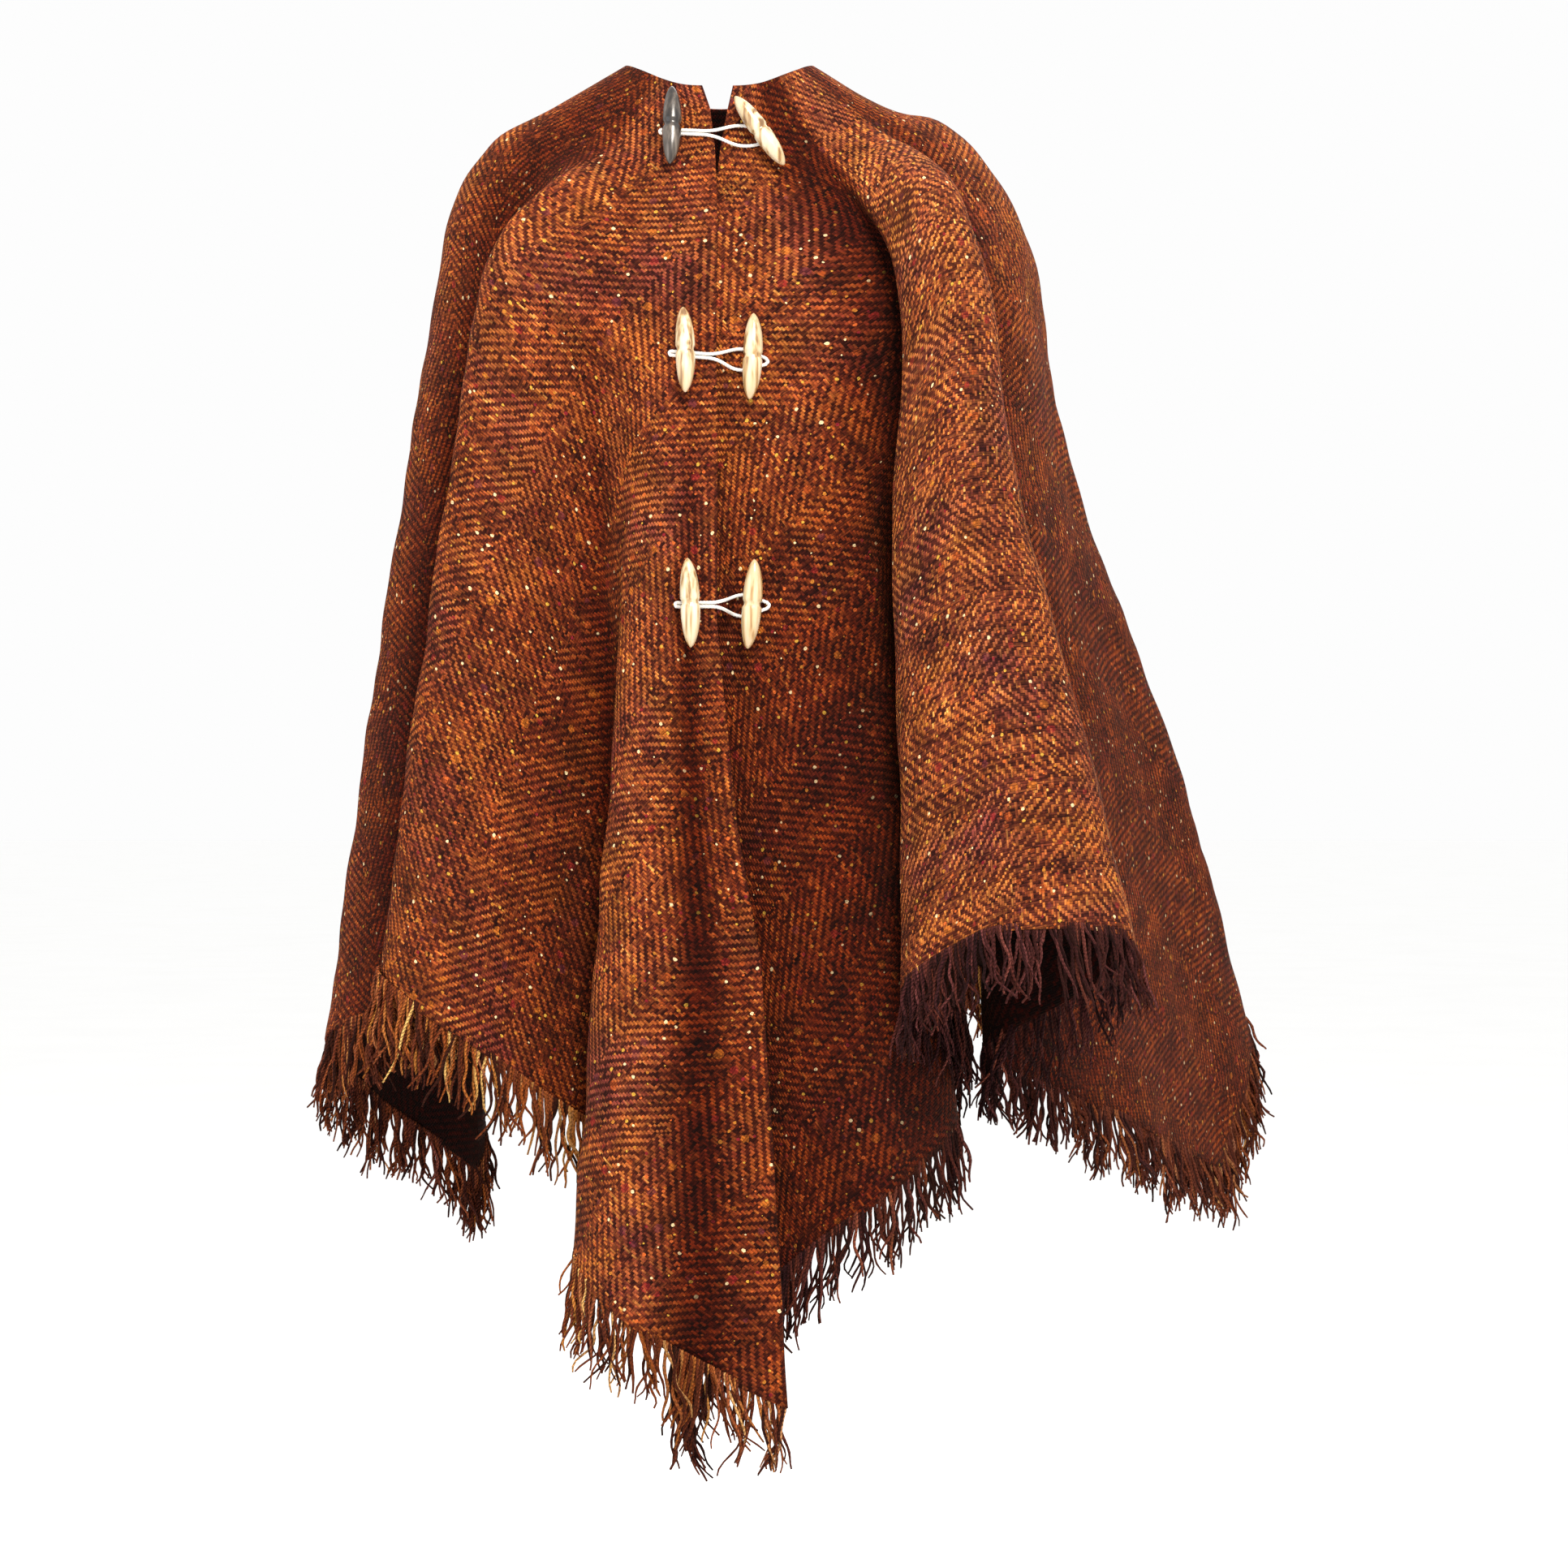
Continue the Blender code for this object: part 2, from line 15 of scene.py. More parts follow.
import bpy
import numpy as np
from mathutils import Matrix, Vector


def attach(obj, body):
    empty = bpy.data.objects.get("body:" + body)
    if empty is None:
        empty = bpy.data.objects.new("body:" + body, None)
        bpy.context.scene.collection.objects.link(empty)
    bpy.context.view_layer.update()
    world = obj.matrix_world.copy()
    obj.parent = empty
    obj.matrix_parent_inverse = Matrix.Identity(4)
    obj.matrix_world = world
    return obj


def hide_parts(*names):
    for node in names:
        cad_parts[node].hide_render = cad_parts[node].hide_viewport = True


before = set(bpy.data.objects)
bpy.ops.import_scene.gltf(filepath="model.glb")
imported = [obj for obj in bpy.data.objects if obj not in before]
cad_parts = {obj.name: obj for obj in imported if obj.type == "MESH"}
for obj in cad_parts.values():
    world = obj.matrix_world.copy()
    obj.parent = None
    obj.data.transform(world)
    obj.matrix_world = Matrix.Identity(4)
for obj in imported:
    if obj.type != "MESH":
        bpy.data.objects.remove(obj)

LOG = logging.getLogger("poncho")
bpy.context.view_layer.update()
BODY = "root"
MM = 0.001
WALL = 2.5 * MM
GAP = 0.3 * MM
CORD_DIAMETER = 2.6 * MM
TOGGLE_RADIUS = 7.2 * MM

Array = np.ndarray
Colour = tuple[float, float, float, float]
Socket = bpy.types.NodeSocket
Node = bpy.types.Node
Tree = bpy.types.NodeTree
Material = bpy.types.Material
Piece = bpy.types.Object


class HemBow(NamedTuple):
    """How far the hem bows outward at one flat angle; 1 is a straight edge."""

    angle: float
    bow: float


HEM_BOWS = (
    HemBow(0, 1.08),
    HemBow(45, 1.08),
    HemBow(60, 1.15),
    HemBow(75, 1.20),
    HemBow(90, 1.17),
    HemBow(180, 1.14),
    HemBow(360, 1.14),
)


class Ring(NamedTuple):
    """Half-widths of the unfolded drape at one radius, in mm."""

    radius: float
    left: float
    right: float
    front: float
    back: float


RINGS = (
    Ring(80, 71, 73, 74, 74),
    Ring(140, 123, 125, 92, 97),
    Ring(200, 175, 182, 112, 122),
    Ring(250, 201, 216, 128, 142),
    Ring(300, 212, 238, 140, 158),
    Ring(450, 232, 268, 160, 190),
    Ring(750, 262, 366, 184, 236),
    Ring(1100, 290, 455, 208, 275),
)


class Fold(NamedTuple):
    """A line of the cloth: its flat angle, and its place from above, in mm, at two radii.

    The upper place is just below the shoulder and the lower one near the hem.
    """

    angle: float
    upper_x: float
    upper_y: float
    lower_x: float
    lower_y: float


FOLDS = (
    Fold(0, 0, -141, -14, -162),
    Fold(4.5, 20, -143, 12, -164),
    Fold(9, 42, -142, 56, -172),
    Fold(14, 70, -139, 118, -164),
    Fold(18, 96, -131, 158, -120),
    Fold(21.5, 122, -118, 160, -64),
    Fold(25, 142, -104, 170, -52),
    Fold(29.5, 152, -102, 180, -98),
    Fold(38.5, 140, -140, 136, -180),
    Fold(46.5, 162, -156, 202, -222),
    Fold(55, 192, -128, 286, -160),
    Fold(63, 186, -90, 198, -84),
    Fold(71, 206, -64, 248, -34),
    Fold(78, 222, -36, 290, 20),
    Fold(84, 232, -8, 317, 76),
    Fold(90, 236, 20, 341, 134),
    Fold(97, 234, 52, 368, 194),
    Fold(106, 212, 94, 344, 252),
    Fold(115, 188, 110, 300, 168),
    Fold(125, 168, 142, 264, 270),
    Fold(135, 138, 138, 212, 172),
    Fold(145, 112, 168, 172, 280),
    Fold(155, 80, 156, 124, 184),
    Fold(165, 50, 180, 82, 280),
    Fold(173, 24, 170, 40, 206),
    Fold(180, 0, 182, -2, 264),
    Fold(188, -26, 168, -40, 190),
    Fold(196, -50, 178, -76, 272),
    Fold(205, -76, 156, -102, 176),
    Fold(214, -102, 166, -144, 264),
    Fold(223, -120, 136, -152, 162),
    Fold(233, -148, 142, -208, 236),
    Fold(243, -164, 112, -190, 148),
    Fold(249, -178, 108, -226, 196),
    Fold(255, -188, 94, -252, 168),
    Fold(262, -196, 72, -208, 126),
    Fold(270, -206, 40, -202, 78),
    Fold(277, -212, 10, -256, 34),
    Fold(284, -206, -20, -276, -32),
    Fold(291, -188, -44, -234, -82),
    Fold(299, -172, -56, -166, -34),
    Fold(305, -158, -64, -136, -18),
    Fold(311, -154, -80, -132, -58),
    Fold(318, -160, -100, -176, -96),
    Fold(326, -168, -118, -238, -134),
    Fold(333, -134, -134, -166, -180),
    Fold(339, -104, -139, -104, -158),
    Fold(342, -90, -140, -70, -136),
    Fold(345.5, -72, -141, -62, -158),
    Fold(350, -48, -142, -84, -188),
    Fold(354, -30, -143, -54, -210),
    Fold(357, -15, -144, -14, -190),
    Fold(360, 0, -144, 24, -198),
)


class SlitRow(NamedTuple):
    """The slit at one radius, in mm: each edge's shift, and how far the left edge lies before the right."""

    radius: float
    left_shift: float
    right_shift: float
    step: float


SLIT = (
    SlitRow(80, -11, 12, 0.0),
    SlitRow(100, -5, 8, 1.0),
    SlitRow(130, -1.5, 3, 3.0),
    SlitRow(160, 0.0, 0.0, 4.4),
    SlitRow(200, 1.0, -5, 4.8),
    SlitRow(350, -1.0, -5, 4.8),
    SlitRow(500, -9.0, -5, 4.8),
    SlitRow(650, -2.0, -6, 4.8),
    SlitRow(750, 10.0, -6, 4.8),
    SlitRow(1050, 12.0, -6, 4.8),
)


class YarnZone(NamedTuple):
    """The fringe at one flat angle: how warm its yarns are, from 0 for plum to 1 for rust, and how bright."""

    angle: float
    warmth: float
    brightness_and_painted_shade: float


# Their brightness paints shade: darker where the fringe hangs in shadow under and beside the folds.
YARN_ZONES = (
    YarnZone(0, 0.45, 0.55),
    YarnZone(12, 0.4, 0.5),
    YarnZone(28, 0.15, 0.4),
    YarnZone(45, 0.05, 0.55),
    YarnZone(60, 0.1, 0.5),
    YarnZone(72, 0.45, 0.6),
    YarnZone(90, 0.6, 0.7),
    YarnZone(180, 0.6, 0.65),
    YarnZone(250, 0.5, 0.5),
    YarnZone(280, 0.75, 0.65),
    YarnZone(330, 0.85, 0.8),
    YarnZone(360, 0.8, 0.8),
)


class PaintedShadingZone(NamedTuple):
    """Painted light and shade at one flat angle, at shoulder and hem; 1 is the cloth's own colour."""

    angle: float
    upper: float
    lower: float


# Below 1 these paint the shadows in and beside the folds, above 1 the light on ridges and shoulders.
PAINTED_SHADING_ZONES = (
    PaintedShadingZone(0, 1.12, 0.6),
    PaintedShadingZone(8, 1.12, 0.4),
    PaintedShadingZone(14, 1.05, 0.26),
    PaintedShadingZone(19, 0.6, 0.18),
    PaintedShadingZone(24, 0.28, 0.12),
    PaintedShadingZone(35, 0.35, 0.25),
    PaintedShadingZone(39, 1.25, 1.1),
    PaintedShadingZone(56, 1.25, 1.05),
    PaintedShadingZone(61, 0.5, 0.25),
    PaintedShadingZone(67, 0.5, 0.22),
    PaintedShadingZone(75, 1.0, 0.46),
    PaintedShadingZone(90, 1.0, 0.46),
    PaintedShadingZone(108, 1.0, 0.5),
    PaintedShadingZone(125, 0.95, 0.75),
    PaintedShadingZone(180, 0.95, 0.8),
    PaintedShadingZone(270, 0.95, 0.75),
    PaintedShadingZone(284.5, 1.0, 0.78),
    PaintedShadingZone(288, 0.75, 0.34),
    PaintedShadingZone(292, 0.5, 0.16),
    PaintedShadingZone(300, 0.35, 0.15),
    PaintedShadingZone(321, 0.5, 0.2),
    PaintedShadingZone(325, 1.05, 0.8),
    PaintedShadingZone(333, 1.05, 0.75),
    PaintedShadingZone(338, 1.0, 0.55),
    PaintedShadingZone(342, 0.95, 0.42),
    PaintedShadingZone(345, 1.05, 0.9),
    PaintedShadingZone(355.4, 1.05, 0.95),
    PaintedShadingZone(356.7, 1.0, 0.3),
    PaintedShadingZone(357.3, 1.0, 0.3),
    PaintedShadingZone(358.3, 1.05, 0.85),
    PaintedShadingZone(360, 1.05, 0.9),
)


class Crease(NamedTuple):
    """A narrow valley of the cloth: flat angle, where it starts, half-width in degrees and depth, in mm."""

    angle: float
    start: float
    width: float
    depth: float


CREASES = (
    Crease(357.0, 430, 0.9, 6.0),
    Crease(341.0, 250, 2.2, 6.0),
    Crease(309.5, 240, 2.0, 8.0),
    Crease(6.5, 620, 1.4, 4.0),
    Crease(327.0, 600, 2.0, 3.0),
)


class Horn(Enum):
    """The two colours of horn among the toggles."""

    PALE = "pale"
    DARK = "dark"


class Closure(NamedTuple):
    """One pair of toggles, in mm and degrees: where each one's middle is, and how far its top leans right."""

    left_x: float
    left_z: float
    left_lean: float
    left_horn: Horn
    right_x: float
    right_z: float
    right_lean: float
    right_horn: Horn


CLOSURES = (
    Closure(-31, -62, -4, Horn.DARK, 30, -66, -32, Horn.PALE),
    Closure(-22, -234, -2, Horn.PALE, 27, -238, 2, Horn.PALE),
    Closure(-17, -417, -3, Horn.PALE, 28, -417, 4, Horn.PALE),
)


class FleckKind(NamedTuple):
    """One size of fleck.

    Its places are a cell apart, some are missing, and its reach is a share of that distance. Each colour
    holds from its number up to the next.
    """

    cell: float
    least: float
    extra: float
    missing: float
    colours: tuple[tuple[float, str], ...]


BLOTCHES = FleckKind(
    cell=19.0 * MM,
    least=0.05,
    extra=0.13,
    missing=0.4,
    colours=((0.0, "a84a1c"), (0.35, "c06a22"), (0.6, "8c1e22"), (0.8, "5c2430")),
)
FLECKS = FleckKind(
    cell=9.0 * MM,
    least=0.045,
    extra=0.115,
    missing=0.5,
    colours=((0.0, "b8742a"), (0.3, "c89a3a"), (0.5, "ead2a0"), (0.68, "c8602a"), (0.88, "7c1c26")),
)


def linear(code: str) -> Colour:
    """Turns a display colour into the renderer's linear one.

    Args:
        code: the colour as six hexadecimal digits.

    Returns:
        Red, green, blue and an alpha of 1.
    """
    shown = np.array([int(code[start : start + 2], 16) for start in (0, 2, 4)]) / 255
    red, green, blue = map(float, np.where(shown <= 0.04045, shown / 12.92, ((shown + 0.055) / 1.055) ** 2.4))
    return red, green, blue, 1.0


def add_node(tree: Tree, kind: str, links: dict | None = None, **settings) -> Node:
    """Adds a node to a material.

    Args:
        tree: the material's node tree.
        kind: the node's type.
        links: an input's name or number, and the socket or the plain value that goes into it.
        settings: the node's own settings.

    Returns:
        The node.
    """
    node = tree.nodes.new(kind)
    for name, value in settings.items():
        setattr(node, name, value)
    for key, value in (links or {}).items():
        if isinstance(value, Socket):
            tree.links.new(value, node.inputs[key])
        else:
            node.inputs[key].default_value = value
    return node


def compute(tree: Tree, operation: str, *values: Socket | float) -> Socket:
    """Adds a Math node.

    Args:
        tree: the material's node tree.
        operation: the sum it does.
        values: its inputs in order.

    Returns:
        The result.
    """
    return add_node(tree, "ShaderNodeMath", dict(enumerate(values)), operation=operation).outputs[0]


def cloudy(tree: Tree, place: Socket, size: float, detail: float = 2.0) -> Socket:
    """Adds soft noise.

    Args:
        tree: the material's node tree.
        place: the coordinates.
        size: how far its spots are apart, in the coordinates' own unit.
        detail: how many finer layers it has.

    Returns:
        A value near 0.5.
    """
    links = {"Vector": place, "Scale": 1 / size, "Detail": detail}
    return add_node(tree, "ShaderNodeTexNoise", links).outputs["Fac"]


def scaled(tree: Tree, vector: Socket, factor: Socket | float) -> Socket:
    """Multiplies a vector or a colour.

    Args:
        tree: the material's node tree.
        vector: what is multiplied.
        factor: the number it is multiplied by.

    Returns:
        The product.
    """
    links = {0: vector, "Scale": factor}
    return add_node(tree, "ShaderNodeVectorMath", links, operation="SCALE").outputs[0]


def span(tree: Tree, value: Socket, low: float, high: float, start: float, end: float) -> Socket:
    """Maps one range of a value to another and clips it there.

    Args:
        tree: the material's node tree.
        value: the value.
        low: where its range starts.
        high: where its range ends.
        start: the result at the low end.
        end: the result at the high end.

    Returns:
        The mapped value.
    """
    return add_node(tree, "ShaderNodeMapRange", {0: value, 1: low, 2: high, 3: start, 4: end}).outputs[0]


def blend(tree: Tree, share: Socket | float, low: Socket | Colour, high: Socket | Colour) -> Socket:
    """Mixes two colours.

    Args:
        tree: the material's node tree.
        share: how much of the second colour shows.
        low: the first colour.
        high: the second colour.

    Returns:
        The mixed colour.
    """
    links = {"Factor": share, 6: low, 7: high}
    return add_node(tree, "ShaderNodeMix", links, data_type="RGBA").outputs[2]


def ramp(tree: Tree, share: Socket, stops: tuple[tuple[float, str], ...], sharp: bool = False) -> Socket:
    """Reads a colour from a row of them.

    Args:
        tree: the material's node tree.
        share: the place in the row, from 0 to 1.
        stops: pairs of place and display colour.
        sharp: whether the colours meet without blending.

    Returns:
        The colour.
    """
    node = add_node(tree, "ShaderNodeValToRGB", {"Fac": share})
    band = node.color_ramp
    band.interpolation = "CONSTANT" if sharp else "LINEAR"
    while len(band.elements) < len(stops):
        band.elements.new(0.5)
    for element, (place, code) in zip(band.elements, stops):
        element.position = place
        element.color = linear(code)
    return node.outputs["Color"]


def new_material(name: str) -> tuple[Material, Tree, Node]:
    """Makes a material.

    Args:
        name: what it is called.

    Returns:
        The material, its node tree and its shader.
    """
    material = bpy.data.materials.new(name)
    material.use_nodes = True
    tree = material.node_tree
    return material, tree, tree.nodes["Principled BSDF"]


def finish_shader(tree: Tree, shader: Node, colour: Socket, relief: Socket, depth: float) -> None:
    """Links a colour and a relief to a shader.

    Args:
        tree: the material's node tree.
        shader: its shader.
        colour: the surface's colour.
        relief: its height, from 0 to 1.
        depth: what a height of 1 stands for, in metres.
    """
    tree.links.new(colour, shader.inputs["Base Color"])
    bump = add_node(tree, "ShaderNodeBump", {"Height": relief, "Distance": depth, "Strength": 1.0})
    tree.links.new(bump.outputs["Normal"], shader.inputs["Normal"])


@dataclass(frozen=True)
class Wool:
    """How wool takes light: matt, with a faint warm sheen from its fuzz at grazing angles."""

    roughness: float = 0.95
    specular: float = 0.1
    sheen: float = 0.06
    tint: str = "d08050"

    def dress(self, shader: Node) -> None:
        """Sets the constants of a shader.

        Args:
            shader: the shader of a wool material.
        """
        shader.inputs["Roughness"].default_value = self.roughness
        shader.inputs["Specular IOR Level"].default_value = self.specular
        shader.inputs["Sheen Weight"].default_value = self.sheen
        shader.inputs["Sheen Tint"].default_value = linear(self.tint)


@dataclass(frozen=True)
class Tweed(Wool):
    """Heavy handwoven wool tweed: rust warp over dark brown weft in a 2/2 herringbone, with coloured flecks.

    The coordinates are those of the flat cloth, along its threads. A rust line steps one weft up for each
    warp across, and turns back at each band's edge. Two of every four threads are on top in a line. Each
    crossing has its own shade, and some of them stray. The yarn is 1.95 mm wide, about as coarse as it needs
    to be to show. Its colour changes 0.8 times a thread across the yarns and 0.07 times along them, which
    makes slubs about 28 mm long.
    """

    yarn: float = 1.95 * MM
    band_rows: int = 36
    repeat: float = 4.0
    wander: float = 4.0 * MM
    wander_cell: float = 110.0 * MM
    stray: float = 0.1
    changes_across: float = 0.8
    changes_along: float = 0.07
    fleck_fuzz: float = 2.0 * MM
    plum_patch: float = 77.0 * MM
    rust_patch: float = 38.0 * MM
    shade_patch: float = 29.5 * MM
    nap: float = 1.25 * MM
    relief: float = 1.1 * MM

    def weave(self, tree: Tree, flat: Socket) -> tuple[Socket, Socket, Socket, Socket]:
        """Works out the herringbone.

        Args:
            tree: the material's node tree.
            flat: the flat coordinates.

        Returns:
            Where warp is on top, each crossing's chance, how high the yarn stands, and the thread
            coordinates.
        """
        links = {"Vector": flat, "Scale": 1 / self.wander_cell, "Detail": 2.0}
        drift = add_node(tree, "ShaderNodeTexNoise", links).outputs["Color"]
        middle = {0: drift, 1: (0.5, 0.5, 0.5)}
        drift = add_node(tree, "ShaderNodeVectorMath", middle, operation="SUBTRACT").outputs[0]
        moved = {0: flat, 1: scaled(tree, drift, self.wander)}
        threads = add_node(tree, "ShaderNodeVectorMath", moved, operation="ADD").outputs[0]
        threads = scaled(tree, threads, 1 / self.yarn)
        split = add_node(tree, "ShaderNodeSeparateXYZ", {0: threads})
        warp, weft = (compute(tree, "FLOOR", split.outputs[axis]) for axis in (0, 1))
        places = [compute(tree, "FRACT", split.outputs[axis]) for axis in (0, 1)]
        crowns = [compute(tree, "SINE", compute(tree, "MULTIPLY", place, math.pi)) for place in places]
        zigzag = compute(tree, "PINGPONG", weft, float(self.band_rows))
        band = compute(tree, "FLOOR", compute(tree, "DIVIDE", weft, self.band_rows))
        step = compute(tree, "ADD", warp, zigzag)
        step = compute(tree, "MULTIPLY_ADD", band, 2.0, step)
        line = compute(tree, "FLOORED_MODULO", step, self.repeat)
        cell = add_node(tree, "ShaderNodeCombineXYZ", {0: warp, 1: weft}).outputs[0]
        links = {"Vector": cell}
        chance = add_node(tree, "ShaderNodeTexWhiteNoise", links, noise_dimensions="2D").outputs["Value"]
        regular = compute(tree, "LESS_THAN", line, self.repeat / 2 - 0.5)
        strays = compute(tree, "LESS_THAN", chance, self.stray)
        on_top = compute(tree, "ABSOLUTE", compute(tree, "SUBTRACT", regular, strays))
        bead = compute(tree, "MULTIPLY", crowns[0], compute(tree, "MULTIPLY_ADD", crowns[1], 0.5, 0.5))
        over = compute(tree, "MULTIPLY_ADD", bead, 0.55, 0.45)
        under = compute(tree, "MULTIPLY", crowns[1], 0.4)
        height = add_node(tree, "ShaderNodeMix", {"Factor": on_top, "A": under, "B": over}).outputs[0]
        return on_top, chance, height, threads

    def dye(self, tree: Tree, flat: Socket, threads: Socket, on_top: Socket) -> Socket:
        """Colours the yarns: each changes along its length, and patches of it are plum or a bright rust.

        Args:
            tree: the material's node tree.
            flat: the flat coordinates.
            threads: the thread coordinates.
            on_top: where warp is on top.

        Returns:
            The yarns' colour.
        """
        across, along = self.changes_across, self.changes_along
        slubs = []
        for scale, start in (((across, along, 1.0), 0.0), ((along, across, 1.0), 40.0)):
            links = {"Vector": threads, "Scale": scale, "Location": (start, start, 0.0)}
            slubs.append(cloudy(tree, add_node(tree, "ShaderNodeMapping", links).outputs[0], 1.0))
        stops = ((0.3, "44190c"), (0.42, "702e14"), (0.52, "8c431f"), (0.62, "a65a25"), (0.74, "c68a44"))
        rust = ramp(tree, slubs[0], stops)
        brown = ramp(tree, slubs[1], ((0.3, "2c0d09"), (0.45, "46180f"), (0.56, "602618"), (0.7, "8c4824")))
        colour = blend(tree, on_top, brown, rust)
        plum = span(tree, cloudy(tree, flat, self.plum_patch, 4.0), 0.47, 0.66, 0.0, 0.75)
        colour = blend(tree, plum, colour, blend(tree, on_top, linear("300e10"), linear("642826")))
        glow = span(tree, cloudy(tree, flat, self.rust_patch, 4.0), 0.5, 0.7, 0.0, 0.6)
        return blend(tree, glow, colour, blend(tree, on_top, linear("66290f"), linear("b86728")))

    def tone(self, tree: Tree, flat: Socket, chance: Socket, height: Socket, painted_shading: Socket) -> Socket:
        """Works out how light the cloth is: by crossing, by height, in patches, and redder where it is dark.

        Args:
            tree: the material's node tree.
            flat: the flat coordinates.
            chance: each crossing's chance.
            height: how high the yarn stands.
            painted_shading: how light the cloth is there.

        Returns:
            What red, green and blue are multiplied by.
        """
        # Painted shade: the yarn is darker where it lies low between the crossings.
        shade = compute(
            tree, "MULTIPLY", span(tree, chance, 0.0, 1.0, 0.55, 1.3), span(tree, height, 0, 1, 0.5, 1.15)
        )
        patches = span(tree, cloudy(tree, flat, self.shade_patch, 3.0), 0.3, 0.7, 0.58, 1.44)
        # Painted light and shade from the cloth's points, and redder where it is darker.
        redder = {0: painted_shading, 1: compute(tree, "POWER", painted_shading, 1.6), 2: compute(tree, "POWER", painted_shading, 1.9)}
        redder = add_node(tree, "ShaderNodeCombineXYZ", redder).outputs[0]
        return scaled(tree, redder, compute(tree, "MULTIPLY", shade, patches))

    def flecks(self, tree: Tree, flat: Socket, kind: FleckKind) -> tuple[Socket, Socket]:
        """Works out one size of fleck: a ragged spot round some of the places of an uneven grid.

        Args:
            tree: the material's node tree.
            flat: the flat coordinates.
            kind: its sizes and colours.

        Returns:
            Where the flecks are, and their colours.
        """
        links = {"Vector": flat, "Scale": 1 / kind.cell}
        spots = add_node(tree, "ShaderNodeTexVoronoi", links, voronoi_dimensions="2D")
        chance = add_node(tree, "ShaderNodeSeparateColor", {0: spots.outputs["Color"]})
        reach = compute(tree, "MULTIPLY_ADD", chance.outputs[1], kind.extra, kind.least)
        fuzz = cloudy(tree, flat, self.fleck_fuzz, 1.0)
        ragged = compute(tree, "MULTIPLY_ADD", fuzz, 0.16, spots.outputs["Distance"])
        near = compute(tree, "LESS_THAN", compute(tree, "SUBTRACT", ragged, 0.08), reach)
        kept = compute(tree, "GREATER_THAN", chance.outputs[0], kind.missing)
        return compute(tree, "MULTIPLY", near, kept), ramp(tree, chance.outputs[2], kind.colours, sharp=True)

    def build(self) -> Material:
        """Makes the material.

        Returns:
            The tweed.
        """
        # Wool scatters light: it has no gloss, and its nap gives a faint warm sheen at grazing angles.
        material, tree, shader = new_material("herringbone tweed")
        flat = add_node(tree, "ShaderNodeUVMap", uv_map="Flat").outputs["UV"]
        # The painted light and shade of ridges, folds, zones and the inner face.
        painted_shading = add_node(tree, "ShaderNodeAttribute", attribute_name="painted_shading").outputs["Fac"]
        on_top, chance, height, threads = self.weave(tree, flat)
        toned = {0: self.dye(tree, flat, threads, on_top), 1: self.tone(tree, flat, chance, height, painted_shading)}
        colour = add_node(tree, "ShaderNodeVectorMath", toned, operation="MULTIPLY").outputs[0]
        # Flecks fade into the painted shade.
        lit = span(tree, painted_shading, 0.15, 0.7, 0.0, 0.9)
        blotch, tint = self.flecks(tree, flat, BLOTCHES)
        seen = compute(tree, "MULTIPLY", lit, span(tree, height, 0.2, 0.8, 0.25, 0.75))
        colour = blend(tree, compute(tree, "MULTIPLY", blotch, seen), colour, tint)
        fleck, tint = self.flecks(tree, flat, FLECKS)
        colour = blend(tree, compute(tree, "MULTIPLY", fleck, lit), colour, tint)
        nap = compute(tree, "MULTIPLY", cloudy(tree, flat, self.nap), 0.7)
        relief = compute(tree, "MULTIPLY_ADD", fleck, 0.6, compute(tree, "ADD", height, nap))
        self.dress(shader)
        finish_shader(tree, shader, colour, relief, self.relief)
        return material


@dataclass(frozen=True)
class PliedYarn(Wool):
    """Loose plied wool yarn: each one has its own colour, and its plies twist round it."""

    twist: float = 6.0 * MM
    fuzz: float = 1.4 * MM
    relief: float = 0.6 * MM

    def build(self) -> Material:
        """Makes the material.

        Returns:
            The yarn.
        """
        # Loose yarn is as matt as the cloth, with painted shade in dark lines where its plies meet.
        material, tree, shader = new_material("plied wool yarn")
        place = add_node(tree, "ShaderNodeUVMap", uv_map="Yarn").outputs["UV"]
        split = add_node(tree, "ShaderNodeSeparateXYZ", {0: place})
        warmth = add_node(tree, "ShaderNodeAttribute", attribute_name="warmth").outputs["Fac"]
        # The brightness holds painted shade by zone as well as each yarn's own lightness.
        bright = add_node(tree, "ShaderNodeAttribute", attribute_name="brightness_and_painted_shade").outputs["Fac"]
        rust = ((0.0, "100503"), (0.3, "34140a"), (0.5, "602a12"), (0.68, "8c481c"), (0.84, "ac7030"))
        warm = ramp(tree, bright, rust + ((1.0, "cca05c"),))
        plum = ((0.0, "0c0405"), (0.3, "220c10"), (0.5, "45201f"), (0.75, "6a3836"), (1.0, "94605a"))
        cool = ramp(tree, bright, plum)
        colour = blend(tree, warmth, cool, warm)
        turn = compute(tree, "MULTIPLY_ADD", split.outputs[1], 1 / self.twist, split.outputs[0])
        turn = compute(tree, "MULTIPLY", turn, 2 * math.pi)
        ply = compute(tree, "ABSOLUTE", compute(tree, "SINE", turn))
        fuzz = cloudy(tree, add_node(tree, "ShaderNodeTexCoord").outputs["Object"], self.fuzz)
        # Painted shade: darker in the grooves between the plies.
        ply_groove_shade = span(tree, ply, 0.0, 1.0, 0.45, 1.2)
        shade = compute(tree, "MULTIPLY", ply_groove_shade, span(tree, fuzz, 0.3, 0.7, 0.6, 1.5))
        colour = scaled(tree, colour, shade)
        relief = compute(tree, "MULTIPLY_ADD", fuzz, 0.8, ply)
        self.dress(shader)
        finish_shader(tree, shader, colour, relief, self.relief)
        return material


